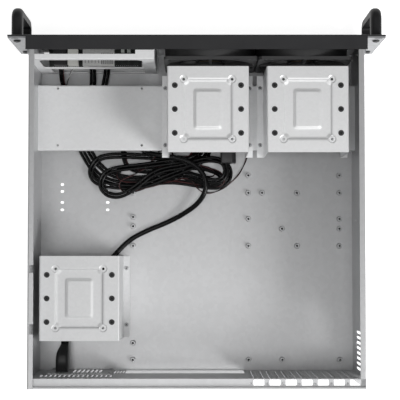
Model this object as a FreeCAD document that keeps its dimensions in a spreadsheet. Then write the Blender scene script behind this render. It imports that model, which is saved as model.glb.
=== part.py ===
import FreeCAD, Part
import math
import os
import re

import Sketcher

# A 3U rackmount server case, 450 mm deep, with its top cover off: a folded steel tray, a recessed
# rear wall with seven card slots, a black front panel with bow handles, two 120 mm fans, a raised
# drive shelf, three drive brackets and the leads that belong to the case.
# +X is to the right as seen from the front, +Y runs to the rear, +Z is up. The origin is on the
# underside of the tray, at the middle of its width and of its depth.

SIZES = {
    # tray
    "body_width": 428.0,
    "body_depth": 450.0,
    "body_height": 132.5,
    "sheet_gauge": 1.2,
    "flange_width": 7.5,
    "tray_setback": 4.5,
    "fit_gap": 0.1,
    "bend_radius": 2.0,
    "inner_bend": 0.8,
    # front panel, ears and handles
    "panel_width": 482.6,
    "panel_gauge": 2.0,
    "lip_depth": 18.8,
    "lip_width": 436.0,
    "ear_gauge": 2.0,
    "ear_side_length": 22.0,
    "rack_spacing_x": 465.1,
    "rack_spacing_z": 120.65,
    "rack_slot_length": 10.0,
    "rack_slot_width": 6.5,
    "handle_x": 231.7,
    "handle_width": 14.3,
    "handle_height": 102.0,
    "handle_reach": 39.5,
    "handle_bar": 12.0,
    "handle_bend": 16.0,
    "handle_round": 6.0,
    "handle_screw_spacing": 88.0,
    # fans
    "fan_size": 120.0,
    "fan_depth": 25.0,
    "fan_flange": 4.0,
    "fan_bore": 57.5,
    "fan_barrel": 59.4,
    "fan_screw_spacing": 105.0,
    "fan_a_x": -17.8,
    "fan_b_x": -139.5,
    "fan_z": 65.25,
    "hub_radius": 20.0,
    "hub_plate": 3.5,
    "bearing_radius": 4.5,
    "shaft_radius": 1.5,
    "shaft_gap": 0.05,
    "rotor_radius": 19.4,
    "rotor_wall": 1.8,
    "rotor_front_gap": 2.0,
    "rotor_rear_gap": 1.2,
    "blade_tip": 54.4,
    "blade_gauge": 1.8,
    # front controls
    "bay_left": 204.5,
    "bay_right": 54.2,
    "bay_rear": 31.5,
    "bay_top_flange": 6.7,
    "window_left": 203.0,
    "window_right": 70.0,
    "window_top": 122.0,
    "window_corner": 6.0,
    "board_z": 54.0,
    "board_gauge": 1.6,
    "board_front": 6.5,
    "board_rear": 30.2,
    "control_z": 63.0,
    "block_height": 16.4,
    "power_x": 180.4,
    "power_width": 16.4,
    "reset_x": 163.5,
    "reset_width": 13.4,
    "usb_x": 129.6,
    "usb_width": 41.6,
    "usb_port_spacing": 20.0,
    "power_cap": 5.0,
    "reset_cap": 2.6,
    "button_travel": 1.5,
    "button_gap": 0.3,
    "light_x": 94.0,
    "light_spacing": 8.0,
    "light_radius": 1.5,
    # drive shelf and brackets
    "shelf_front": 52.4,
    "shelf_rear": 140.5,
    "shelf_top": 39.5,
    "shelf_flange": 8.0,
    "bracket_width": 104.4,
    "bracket_length": 110.0,
    "bracket_height": 90.0,
    "bracket_gauge": 1.2,
    "foot_reach": 8.5,
    "foot_spacing_x": 112.8,
    "foot_spacing_y": 76.6,
    "drive_spacing_x": 61.72,
    "drive_spacing_y": 76.6,
    "emboss_depth": 1.0,
    "emboss_boss": 5.4,
    "emboss_slope": 1.4,
    "emboss_corner": 3.0,
    "inner_emboss_x": 30.0,
    "inner_emboss_y": 46.0,
    "grommet_spacing_x": 84.4,
    "grommet_pitch_y": 30.5,
    "grommet_hole": 2.7,
    "grommet_radius": 3.7,
    "bracket_row_y": 95.2,
    "empty_bay_x": 130.0,
    "bracket_1_x": -14.5,
    "bracket_2_x": -141.7,
    "bracket_3_x": 151.9,
    "bracket_3_y": 337.0,
    "screw_hole": 1.7,
    "screw_shank": 1.45,
    "screw_head": 2.8,
    "screw_head_height": 1.8,
    # rear wall
    "wall_setback": 11.7,
    "ledge_z": 126.5,
    "rear_hem": 2.2,
    "card_pitch": 20.32,
    "card_first_x": -78.8,
    "card_opening": 13.4,
    "card_opening_depth": 7.2,
    "knockout_width": 12.4,
    "knockout_gap": 0.9,
    "aperture_x": 15.46,
    "aperture_width": 158.75,
    "aperture_height": 44.45,
    "aperture_z": 5.5,
    "inlet_plate_x": 154.5,
    "inlet_plate_width": 83.6,
    "inlet_plate_top": 70.0,
    "inlet_x": 179.5,
    "inlet_z": 30.0,
    "inlet_width": 17.0,
    "inlet_height": 27.4,
    "inlet_flange_width": 22.6,
    "inlet_flange_height": 49.0,
    "inlet_screw_spacing": 40.0,
    "inlet_length": 22.0,
    "inlet_taper": 16.0,
    "inlet_lean": 3.0,
    # floor
    "board_hole_x": 86.7,
    "board_hole_y": 423.0,
    "board_pitch_x": 157.48,
    "board_span_x": 281.94,
    "board_pitch_y": 154.94,
    "board_span_y": 227.33,
    "standoff_height": 6.0,
    "standoff_base": 3.9,
    "standoff_top": 2.9,
    "standoff_hole": 1.5,
    # leads
    "ac_lead_radius": 3.4,
    "usb_lead_radius": 2.25,
    "panel_lead_radius": 1.6,
    "fan_lead_radius": 1.1,
    "hank_height": 13.0,
    "hank_front_y": 137.0,
}

doc = FreeCAD.newDocument("rack_case")
sheet = doc.addObject("Spreadsheet::Sheet", "Sizes")
NODES = []


def fill_sheet():
    for row, (alias, number) in enumerate(SIZES.items(), start=1):
        sheet.set(f"A{row}", alias)
        sheet.set(f"B{row}", str(number))
        sheet.setAlias(f"B{row}", alias)
    doc.recompute()


fill_sheet()


# ---- short helpers: every length is an expression on the sheet's names ----

def bind(formula):
    """The formula with each of the sheet's names made into a reference to its cell."""
    return re.sub(r"\b[a-z]+(?:_[a-z0-9]+)+\b", lambda name: f"Sizes.{name.group(0)}", str(formula))


def number(formula):
    return float(sheet.evalExpression(bind(formula)))


def from_front(depth):
    """A Y place that is so far behind the face of the front panel."""
    return f"({depth}) - body_depth/2"


def node(obj, label):
    obj.Label = label
    NODES.append(obj)
    return obj


def new_body(label):
    return node(doc.addObject("PartDesign::Body", label), label)


def origin_feature(body, role):
    return next(item for item in body.Origin.OriginFeatures if item.Role == role)


def new_sketch(body, plane, level):
    """A sketch on one of the body's own planes, moved along its normal to the given level."""
    sketch = body.newObject("Sketcher::SketchObject", body.Name + "_sketch")
    sketch.AttachmentSupport = (origin_feature(body, plane + "_Plane"), [""])
    sketch.MapMode = "FlatFace"
    sign = "-1" if plane == "XZ" else "1"
    sketch.setExpression("AttachmentOffset.Base.z", bind(f"{sign}*({level})"))
    return sketch


def pin_point(sketch, geometry, point, x, y):
    """Hold one point of the sketch at two lengths from its origin."""
    for kind, formula in (("DistanceX", x), ("DistanceY", y)):
        rule = Sketcher.Constraint(kind, -1, 1, geometry, point, number(formula))
        index = sketch.addConstraint(rule)
        sketch.setExpression(f"Constraints[{index}]", bind(formula))


def polygon(*corners):
    def draw(sketch):
        first = sketch.GeometryCount
        spots = [FreeCAD.Vector(number(x), number(y), 0) for x, y in corners]
        count = len(spots)
        sides = [Part.LineSegment(spots[i], spots[(i + 1) % count]) for i in range(count)]
        sketch.addGeometry(sides, False)
        joins = [
            Sketcher.Constraint("Coincident", first + i, 2, first + (i + 1) % count, 1)
            for i in range(count)
        ]
        sketch.addConstraint(joins)
        for i, (x, y) in enumerate(corners):
            pin_point(sketch, first + i, 1, x, y)
    return draw


def rectangle(x0, x1, y0, y1):
    return polygon((x0, y0), (x1, y0), (x1, y1), (x0, y1))


def centred(x, y, width, height):
    return rectangle(f"{x}-({width})/2", f"{x}+({width})/2", f"{y}-({height})/2", f"{y}+({height})/2")


def rounded(x, y, width, height, radius):
    """A centred rectangle with round corners."""
    def draw(sketch):
        size = number(radius)
        corners = [(f"{x}+{a}*(({width})/2-({radius}))", f"{y}+{b}*(({height})/2-({radius}))")
                   for a, b in ((1, 1), (-1, 1), (-1, -1), (1, -1))]
        arcs = []
        for turn, (corner_x, corner_y) in enumerate(corners):
            centre = FreeCAD.Vector(number(corner_x), number(corner_y), 0)
            ring = Part.Circle(centre, FreeCAD.Vector(0, 0, 1), size)
            start = turn * math.pi / 2
            arcs.append(sketch.addGeometry(Part.ArcOfCircle(ring, start, start + math.pi / 2), False))
        for this, following in zip(arcs, arcs[1:] + arcs[:1]):
            start = sketch.Geometry[this].EndPoint
            side = sketch.addGeometry(Part.LineSegment(start, sketch.Geometry[following].StartPoint), False)
            sketch.addConstraint([
                Sketcher.Constraint("Tangent", this, 2, side, 1),
                Sketcher.Constraint("Tangent", side, 2, following, 1),
            ])
        for index, (corner_x, corner_y) in zip(arcs, corners):
            pin_point(sketch, index, 3, corner_x, corner_y)
            rule = sketch.addConstraint(Sketcher.Constraint("Radius", index, size))
            sketch.setExpression(f"Constraints[{rule}]", bind(radius))
    return draw


def circle(x, y, radius):
    def draw(sketch):
        centre = FreeCAD.Vector(number(x), number(y), 0)
        ring = Part.Circle(centre, FreeCAD.Vector(0, 0, 1), number(radius))
        index = sketch.addGeometry(ring, False)
        pin_point(sketch, index, 3, x, y)
        rule = sketch.addConstraint(Sketcher.Constraint("Radius", index, number(radius)))
        sketch.setExpression(f"Constraints[{rule}]", bind(radius))
    return draw


def slot(x, y, length, width, upright=False):
    """A slot with round ends, as long as its ends included, along X or upright."""
    def draw(sketch):
        reach = f"(({length})-({width}))/2"
        step_x, step_y = ("0", reach) if upright else (reach, "0")
        ends = [(f"{x}-{step_x}", f"{y}-{step_y}"), (f"{x}+{step_x}", f"{y}+{step_y}")]
        turn = math.pi / 2 if upright else 0
        radius = number(width) / 2
        arcs = []
        for (end_x, end_y), start in zip(ends, (math.pi / 2 + turn, -math.pi / 2 + turn)):
            centre = FreeCAD.Vector(number(end_x), number(end_y), 0)
            ring = Part.Circle(centre, FreeCAD.Vector(0, 0, 1), radius)
            arcs.append(sketch.addGeometry(Part.ArcOfCircle(ring, start, start + math.pi), False))
        low, high = (sketch.Geometry[index] for index in arcs)
        first = sketch.addGeometry(Part.LineSegment(low.EndPoint, high.StartPoint), False)
        second = sketch.addGeometry(Part.LineSegment(high.EndPoint, low.StartPoint), False)
        sketch.addConstraint([
            Sketcher.Constraint("Tangent", arcs[0], 2, first, 1),
            Sketcher.Constraint("Tangent", first, 2, arcs[1], 1),
            Sketcher.Constraint("Tangent", arcs[1], 2, second, 1),
            Sketcher.Constraint("Tangent", second, 2, arcs[0], 1),
        ])
        for index, (end_x, end_y) in zip(arcs, ends):
            pin_point(sketch, index, 3, end_x, end_y)
        rule = sketch.addConstraint(Sketcher.Constraint("Radius", arcs[0], radius))
        sketch.setExpression(f"Constraints[{rule}]", bind(f"({width})/2"))
    return draw


def extrude(kind, body, plane, low, high, shapes):
    """A pad or pocket of the drawn shapes between two levels along the plane's axis."""
    sketch = new_sketch(body, plane, high if plane == "XZ" else low)
    for draw in shapes:
        draw(sketch)
    feature = body.newObject("PartDesign::" + kind, body.Name + "_" + kind.lower())
    feature.Profile = sketch
    feature.setExpression("Length", bind(f"({high})-({low})"))
    feature.Reversed = kind == "Pocket"
    sketch.Visibility = False
    return feature


def pad(body, plane, low, high, *shapes):
    return extrude("Pad", body, plane, low, high, shapes)


def pocket(body, plane, low, high, *shapes):
    return extrude("Pocket", body, plane, low, high, shapes)


def repeat(body, features, axis, length, count, backward=False):
    """Copies of features in a row: the length is from the first to the last."""
    pattern = body.newObject("PartDesign::LinearPattern", body.Name + "_row")
    pattern.Originals = features
    pattern.Direction = (origin_feature(body, axis + "_Axis"), [""])
    pattern.Reversed = backward
    pattern.setExpression("Length", bind(length))
    pattern.Occurrences = count
    body.Tip = pattern
    return pattern


def repeat_round(body, features, axis, count):
    pattern = body.newObject("PartDesign::PolarPattern", body.Name + "_ring")
    pattern.Originals = features
    pattern.Axis = (origin_feature(body, axis + "_Axis"), [""])
    pattern.Angle = 360
    pattern.Occurrences = count
    body.Tip = pattern
    return pattern


def move(obj, x="0", y="0", z="0"):
    for letter, formula in zip("xyz", (x, y, z)):
        obj.setExpression(f"Placement.Base.{letter}", bind(formula))
    return obj


def cylinder(x, y, z, radius, length, axis="Z"):
    obj = doc.addObject("Part::Cylinder", "cylinder")
    obj.setExpression("Radius", bind(radius))
    obj.setExpression("Height", bind(length))
    direction = {"X": (1, 0, 0), "Y": (0, 1, 0), "-X": (-1, 0, 0), "-Y": (0, -1, 0), "Z": (0, 0, 1),
                 "-Z": (0, 0, -1)}[axis]
    obj.Placement.Rotation = FreeCAD.Rotation(FreeCAD.Vector(0, 0, 1), FreeCAD.Vector(*direction))
    return move(obj, x, y, z)


def cone(x, y, z, low_radius, high_radius, length, axis="Z"):
    obj = cylinder(x, y, z, low_radius, length, axis)
    placement = obj.Placement
    doc.removeObject(obj.Name)
    obj = doc.addObject("Part::Cone", "cone")
    obj.setExpression("Radius1", bind(low_radius))
    obj.setExpression("Radius2", bind(high_radius))
    obj.setExpression("Height", bind(length))
    obj.Placement = placement
    return move(obj, x, y, z)


def fuse(label, pieces):
    obj = doc.addObject("Part::MultiFuse", label)
    obj.Shapes = pieces
    return node(obj, label)


OPPOSITE = {"X": "-X", "-X": "X", "Y": "-Y", "-Y": "Y", "Z": "-Z", "-Z": "Z"}


def screws(label, places, axis, length, head="screw_head", height="screw_head_height",
           shank="screw_shank"):
    """Pan-head screws whose heads sit on the given places and whose shanks run along the axis."""
    pieces = []
    for x, y, z in places:
        pieces.append(cone(x, y, z, head, f"{head}*0.75", height, OPPOSITE[axis]))
        pieces.append(cylinder(x, y, z, shank, length, axis))
    return fuse(label, pieces)


def four(x, y, step_x, step_y):
    """The four corners of a rectangle of holes."""
    return [(f"{x}+{a}*({step_x})/2", f"{y}+{b}*({step_y})/2") for a in (-1, 1) for b in (-1, 1)]


# ---- places that several pieces share ----

TRAY_FRONT = from_front("tray_setback")
REAR = "body_depth/2"
INNER = "(body_width/2 - sheet_gauge)"
WALL = "(body_depth/2 - wall_setback - sheet_gauge)"
WALL_BACK = "(body_depth/2 - wall_setback)"
MIDDLE_Z = "body_height/2"
SHELF_CENTRES = ("empty_bay_x", "bracket_1_x", "bracket_2_x")
RAIL_HOLES = [(from_front("234.5"), "42"), (from_front("399"), "42")]
SHELF_SCREW_Y = [from_front("shelf_front+20"), from_front("shelf_rear-20")]
SHELF_SCREW_Z = "shelf_top-9"
EAR_SCREW_Z = [f"{MIDDLE_Z}-45", MIDDLE_Z, f"{MIDDLE_Z}+45"]
EAR_SCREW_Y = from_front("16")
PLATE_SCREWS = four("inlet_plate_x", "inlet_plate_top/2+1", "inlet_plate_width-5", "inlet_plate_top-8")
INLET_SCREWS = [("inlet_x", f"inlet_z{sign}inlet_screw_spacing/2") for sign in "-+"]


def standoff_places():
    """Board standoffs: the ATX grid, and the extra rows for smaller and wider boards."""
    columns = ["board_hole_x", "board_hole_x-board_pitch_x", "board_hole_x-board_span_x"]
    rows = [from_front("board_hole_y"), from_front("board_hole_y-board_pitch_y"),
            from_front("board_hole_y-board_span_y")]
    places = [(x, y) for x in columns for y in rows]
    extra = [(-86.7, 400.2), (-86.7, 241.3), (-86.7, 228.6), (116.6, 423.0), (116.6, 244.7),
             (137.2, 268.1), (195.2, 244.7), (195.2, 231.4), (70.8, 231.4), (89.6, 195.7),
             (137.2, 195.7), (70.8, 171.8), (195.2, 171.8)]
    return places + [(f"{-x}", from_front(y)) for x, y in extra]


# ---- folded steel ----

def base_tray():
    body = new_body("base_tray")
    half = "body_width/2"
    top = "body_height"
    under = "(body_height-sheet_gauge)"
    edge = "(body_width/2-flange_width)"
    pad(body, "XZ", TRAY_FRONT, REAR, polygon(
        (f"-{half}", "0"), (half, "0"), (half, top), (edge, top), (edge, under), (INNER, under),
        (INNER, "sheet_gauge"), (f"-{INNER}", "sheet_gauge"), (f"-{INNER}", under),
        (f"-{edge}", under), (f"-{edge}", top), (f"-{half}", top)))
    round_folds(body, "Y", [(half, top), (f"-{half}", top), (half, "0"), (f"-{half}", "0")],
                "bend_radius")
    lip_room = "body_height-panel_gauge-0.2"
    pocket(body, "XZ", TRAY_FRONT, from_front("lip_depth+0.3"),
           rectangle(f"-{half}-1", f"{half}+1", lip_room, f"{top}+1"))
    notch = f"({half}-flange_width-1)"
    pocket(body, "XY", under, top,
           rectangle(notch, f"{half}-2.4", from_front("293.5"), from_front("303.5")),
           rectangle(notch, f"{half}-2.4", from_front("368"), from_front("381")),
           rectangle(f"-{half}+sheet_gauge", f"-{notch}", WALL, f"{REAR}+1"))
    bosses = [circle(x, y, "standoff_base") for x, y in standoff_places()]
    raised = pad(body, "XY", "sheet_gauge", "sheet_gauge+standoff_height", *bosses)
    raised.setExpression("TaperAngle", "-atan((Sizes.standoff_base-Sizes.standoff_top)/Sizes.standoff_height)")
    holes = [circle(x, y, "standoff_hole") for x, y in standoff_places()]
    holes += [circle(x, y, "screw_shank+fit_gap")
              for x, y in four("bracket_3_x", from_front("bracket_3_y"), "foot_spacing_x", "foot_spacing_y")]
    holes += [slot(x, from_front(y), "4.6", "3.2")
              for x in ("183.9", "121.7") for y in (184.1, 193.6, 208.7, 218.8)]
    pocket(body, "XY", "0", "sheet_gauge+standoff_height", *holes)
    side_holes = [circle(y, z, "2.5") for y, z in RAIL_HOLES]
    side_holes += [circle(y, SHELF_SCREW_Z, "screw_hole") for y in SHELF_SCREW_Y]
    side_holes += [circle(EAR_SCREW_Y, z, "screw_hole") for z in EAR_SCREW_Z]
    pocket(body, "YZ", f"-{half}-1", f"{half}+1", *side_holes)
    vent = pocket(body, "YZ", f"-{half}-1", f"-{INNER}+1", slot(from_front("382.5"), "68.5", "52", "3.6", True))
    repeat(body, [vent], "Y", "7*6.75", 8)
    return body


def rear_panel():
    body = new_body("rear_panel")
    side = f"({INNER}-fit_gap)"
    ledge_under = "(ledge_z-sheet_gauge)"
    hem = f"({REAR}-rear_hem-0.3)"
    pad(body, "YZ", f"-{side}", side, polygon(
        (WALL, "sheet_gauge"), (f"{REAR}-1", "sheet_gauge"), (f"{REAR}-1", "2*sheet_gauge"),
        (WALL_BACK, "2*sheet_gauge"), (WALL_BACK, ledge_under), (f"{REAR}-0.3", ledge_under),
        (f"{REAR}-0.3", "body_height"), (hem, "body_height"), (hem, "ledge_z"), (WALL, "ledge_z")))
    low = "12"
    high = "118"
    out = "(knockout_width/2+knockout_gap/2)"
    inn = "(knockout_width/2-knockout_gap/2)"

    def hook(sign):
        return polygon(*[(f"card_first_x{sign}({x})", z) for x, z in (
            (out, high), (inn, high), (inn, f"{low}+4"), ("3.4", f"{low}+knockout_gap"),
            ("1.2", f"{low}+knockout_gap"), ("1.2", low), ("3.8", low), (out, f"{low}+3.6"))])

    gaps = pocket(body, "XZ", f"{WALL}-1", f"{WALL_BACK}+1", hook("+"), hook("-"))
    opening = pocket(body, "XY", f"{ledge_under}-1", "ledge_z+1",
                     rectangle("card_first_x-card_opening/2", "card_first_x+card_opening/2",
                               WALL_BACK, f"{WALL_BACK}+card_opening_depth"))
    tapped = pocket(body, "XY", f"{ledge_under}-1", "ledge_z+1",
                    circle("card_first_x+card_pitch/2", f"{WALL_BACK}+4.6", "1.5"))
    bead = pad(body, "XZ", f"{WALL}-0.8", WALL, slot("card_first_x", "66", "92", "3.6", True))
    repeat(body, [gaps, opening, tapped, bead], "X", "6*card_pitch", 7, backward=True)
    plate_left = "(inlet_plate_x-inlet_plate_width/2)"
    plate_right = "(inlet_plate_x+inlet_plate_width/2)"
    pocket(body, "XZ", f"{WALL}-1", f"{WALL_BACK}+1",
           centred("aperture_x", "aperture_z+aperture_height/2", "aperture_width", "aperture_height"),
           rectangle(f"{plate_left}+6.3", f"{plate_right}-5.1", "4.4", "inlet_plate_top-7"),
           *[circle(x, z, "screw_shank+fit_gap") for x, z in PLATE_SCREWS])
    vent = pocket(body, "XZ", f"{WALL}-1", f"{WALL_BACK}+1", slot("111", "87", "24", "2.4", True))
    repeat(body, [vent], "X", "15*6", 16)
    pocket(body, "XY", "body_height-sheet_gauge-0.2", "body_height",
           rectangle("body_width/2-flange_width-0.3", f"{side}+1", WALL, REAR))
    side_vent = pocket(body, "XZ", f"{WALL}-1", f"{WALL_BACK}+1", slot("97.6", "28", "42", "1.8", True))
    repeat(body, [side_vent], "X", "3*3.8", 4)
    return body


def front_frame():
    body = new_body("front_frame")
    side = f"({INNER}-fit_gap)"
    front = TRAY_FRONT
    back = f"{TRAY_FRONT}+sheet_gauge"
    top = "(body_height-panel_gauge-0.2)"
    pad(body, "YZ", f"-{side}", side, polygon(
        (front, "sheet_gauge"), (f"{front}+10", "sheet_gauge"), (f"{front}+10", "2*sheet_gauge"),
        (back, "2*sheet_gauge"), (back, f"{top}-sheet_gauge"), (f"{front}+13", f"{top}-sheet_gauge"),
        (f"{front}+13", top), (front, top)))
    pocket(body, "XY", "sheet_gauge", "2*sheet_gauge+0.1",
           rectangle("bay_right-12", f"{side}+1", back, f"{front}+11"))
    pocket(body, "XZ", f"{front}-1", f"{back}+0.1",
           rectangle("bay_right+8", "bay_left+4", "8", f"{top}-7"),
           *[circle(x, "fan_z", "fan_bore") for x in ("fan_a_x", "fan_b_x")])
    corners = four("fan_a_x", "fan_z", "fan_screw_spacing", "fan_screw_spacing")
    corners += four("fan_b_x", "fan_z", "fan_screw_spacing", "fan_screw_spacing")
    pocket(body, "XZ", f"{front}-1", f"{back}+1", *[circle(x, z, "2.6") for x, z in corners])
    return body


def front_panel():
    body = new_body("front_panel")
    face = from_front("0")
    back = from_front("panel_gauge")
    pad(body, "XZ", face, back, rectangle("-panel_width/2", "panel_width/2", "0", "body_height"))
    pad(body, "XZ", back, from_front("lip_depth"),
        rectangle("-lip_width/2", "lip_width/2", "body_height-panel_gauge", "body_height"))
    round_folds(body, "X", [(face, "body_height")], "bend_radius")
    for fan in ("fan_a_x", "fan_b_x"):
        louvre = pocket(body, "XZ", face, back, slot(fan, "fan_z-50", "104", "5"))
        repeat(body, [louvre], "Z", "100", 11)
    holes = [slot(x, z, "rack_slot_length", "rack_slot_width")
             for x, z in four("0", MIDDLE_Z, "rack_spacing_x", "rack_spacing_z")]
    holes += [circle(x, z, "2.6")
              for x, z in four("0", MIDDLE_Z, "2*handle_x", "handle_screw_spacing")]
    holes += [circle("power_x", "control_z", "power_cap+button_gap"),
              circle("reset_x", "control_z", "reset_cap+button_gap")]
    holes += [centred(f"usb_x{sign}usb_port_spacing/2", "control_z", "13.7", "6.4") for sign in "-+"]
    holes += [circle(f"light_x{sign}light_spacing/2", "control_z", "light_radius+0.1") for sign in "-+"]
    pocket(body, "XZ", face, back, *holes)
    return body


def ear(label, side):
    body = new_body(label)
    front = from_front("panel_gauge")
    back = from_front("panel_gauge+ear_gauge")
    wall = f"{side}*body_width/2"
    pad(body, "XY", "1", "body_height-panel_gauge-0.5", polygon(
        (wall, front), (f"{side}*panel_width/2", front), (f"{side}*panel_width/2", back),
        (f"{side}*(body_width/2+ear_gauge)", back),
        (f"{side}*(body_width/2+ear_gauge)", from_front("panel_gauge+ear_side_length")),
        (wall, from_front("panel_gauge+ear_side_length"))))
    holes = [slot(f"{side}*rack_spacing_x/2", f"{MIDDLE_Z}{way}rack_spacing_z/2",
                  "rack_slot_length", "rack_slot_width") for way in "-+"]
    holes += [circle(f"{side}*handle_x", f"{MIDDLE_Z}{way}handle_screw_spacing/2", "2.6") for way in "-+"]
    pocket(body, "XZ", front, back, *holes)
    low, high = (wall, f"{wall}+ear_gauge") if side == "1" else (f"{wall}-ear_gauge", wall)
    pocket(body, "YZ", low, high, *[circle(EAR_SCREW_Y, z, "screw_hole") for z in EAR_SCREW_Z])
    return body


def handle(label, side):
    """A bow handle: round-nosed bar with two arms, with a tapped hole in each arm."""
    body = new_body(label)
    face = from_front("0")
    low = f"({MIDDLE_Z}-handle_height/2)"
    high = f"({MIDDLE_Z}+handle_height/2)"
    nose = from_front("-handle_reach")
    inside = from_front("handle_bar-handle_reach")
    arm = "handle_bar"
    pad(body, "YZ", f"{side}*handle_x-handle_width/2", f"{side}*handle_x+handle_width/2", polygon(
        (face, low), (nose, low), (nose, high), (face, high), (face, f"{high}-{arm}"),
        (inside, f"{high}-{arm}"), (inside, f"{low}+{arm}"), (face, f"{low}+{arm}")))
    bend(body, "handle_bend", lambda box: box.YMax < number(nose) + 0.1)
    bend(body, "handle_bend-handle_bar",
         lambda box: abs(box.YMax - number(inside)) < 0.1)
    round_outside(body, number(face), number(nose), number(low), number(high))
    pocket(body, "XZ", from_front("-10"), face,
           *[circle(f"{side}*handle_x", f"{MIDDLE_Z}{way}handle_screw_spacing/2", "screw_shank+0.7+fit_gap")
             for way in "-+"])
    return body


def bend(body, radius, chosen):
    """Round the handle's corners, seen from the side, that lie where the test says."""
    doc.recompute()
    names = [f"Edge{i}" for i, edge in enumerate(body.Tip.Shape.Edges, start=1)
             if edge.BoundBox.YLength < 0.01 and edge.BoundBox.ZLength < 0.01 and chosen(edge.BoundBox)]
    add_fillet(body, names, radius)


def round_outside(body, face, nose, low, high):
    """Round both long edges of the handle's outer side, from arm to arm."""
    doc.recompute()
    names = []
    for i, edge in enumerate(body.Tip.Shape.Edges, start=1):
        box = edge.BoundBox
        along_side = box.XLength < 0.01 and box.YMin < face - 0.1
        outer = box.ZMin < low + 0.1 or box.ZMax > high - 0.1 or box.YMax < nose + 0.1
        if along_side and outer:
            names.append(f"Edge{i}")
    add_fillet(body, names, "handle_round")


def add_fillet(body, names, radius):
    base = body.Tip
    rounding = body.newObject("PartDesign::Fillet", body.Name + "_round")
    rounding.Base = (base, names)
    rounding.setExpression("Radius", bind(radius))
    body.Tip = rounding


def round_folds(body, axis, places, radius):
    """Round the long edges along the axis that pass through the given pairs of places."""
    doc.recompute()
    others = [letter for letter in "XYZ" if letter != axis]
    names = []
    for i, edge in enumerate(body.Tip.Shape.Edges, start=1):
        box = edge.BoundBox
        long = getattr(box, axis + "Length") > 20
        for place in places:
            spans = [(getattr(box, letter + "Min"), getattr(box, letter + "Max"), number(level))
                     for letter, level in zip(others, place)]
            if long and all(abs(low - level) < 0.02 and abs(high - level) < 0.02
                            for low, high, level in spans):
                names.append(f"Edge{i}")
    add_fillet(body, names, radius)


def io_bracket():
    body = new_body("io_bracket")
    back = from_front("bay_rear")
    front = from_front("bay_rear-sheet_gauge")
    left = f"({INNER}-fit_gap)"
    right = "bay_right"
    top = "(body_height-sheet_gauge-0.3)"
    pad(body, "XZ", front, back, rectangle(right, left, "sheet_gauge", top))
    pad(body, "XZ", from_front("bay_rear-bay_top_flange"), front,
        rectangle(right, left, f"{top}-sheet_gauge", top),
        rectangle(f"{right}+sheet_gauge", f"{left}-sheet_gauge", "sheet_gauge", "2*sheet_gauge"))
    round_folds(body, "X", [(back, top)], "bend_radius*0.75")
    pad(body, "XZ", from_front("lip_depth+0.6"), from_front("bay_rear-bay_top_flange"),
        rectangle(right, f"{right}+24", f"{top}-sheet_gauge", top))
    pad(body, "XZ", f"{TRAY_FRONT}+sheet_gauge", front,
        rectangle(right, f"{right}+sheet_gauge", "sheet_gauge", f"{top}-6"))
    pad(body, "XZ", from_front("bay_rear-12"), front,
        rectangle(f"{left}-sheet_gauge", left, "sheet_gauge", top))
    pad(body, "XZ", from_front("board_rear-6"), front,
        rectangle("window_right", "window_left-window_corner", "board_z-sheet_gauge", "board_z"))
    corner = "window_corner"
    pocket(body, "XZ", front, back,
           polygon(("window_right", "board_z"), (f"window_left-{corner}", "board_z"),
                   (f"window_left-0.3*{corner}", f"board_z+0.3*{corner}"),
                   ("window_left", f"board_z+{corner}"),
                   ("window_left", f"window_top-{corner}"), (f"window_left-{corner}", "window_top"),
                   (f"window_right+{corner}", "window_top"), ("window_right", f"window_top-{corner}")),
           rectangle("window_right", "window_left-8", "9", "board_z-9"))
    return body


def io_board():
    body = new_body("io_board")
    pad(body, "XY", "board_z", "board_z+board_gauge",
        rectangle("window_right+3", "window_left-window_corner-0.5",
                  from_front("board_front"), from_front("board_rear")))
    return body


def drive_shelf():
    body = new_body("drive_shelf")
    side = INNER
    front = from_front("shelf_front")
    rear = from_front("shelf_rear")
    under = "(shelf_top-sheet_gauge)"
    low = "(shelf_top-shelf_flange)"
    pad(body, "YZ", f"-{side}", side, polygon(
        (front, "shelf_top"), (rear, "shelf_top"), (rear, low), (f"{rear}-sheet_gauge", low),
        (f"{rear}-sheet_gauge", under), (f"{front}+sheet_gauge", under),
        (f"{front}+sheet_gauge", low), (front, low)))
    round_folds(body, "X", [(front, "shelf_top"), (rear, "shelf_top")], "bend_radius")
    round_folds(body, "X", [(f"{front}+sheet_gauge", under), (f"{rear}-sheet_gauge", under)],
                "inner_bend")
    for end, inner in ((side, f"{side}-sheet_gauge"), (f"-{side}+sheet_gauge", f"-{side}")):
        pad(body, "YZ", inner, end, rectangle(f"{front}+8", f"{rear}-8", "shelf_top-16", under))
    pocket(body, "YZ", f"-{side}-1", f"{side}+1", *[circle(y, SHELF_SCREW_Z, "screw_shank+fit_gap")
                                                   for y in SHELF_SCREW_Y])
    holes = []
    for centre in SHELF_CENTRES:
        holes += [circle(x, y, "screw_shank+fit_gap") for x, y in
                  four(centre, from_front("bracket_row_y"), "foot_spacing_x", "foot_spacing_y")]
    pocket(body, "XY", under, "shelf_top", *holes)
    return body


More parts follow.
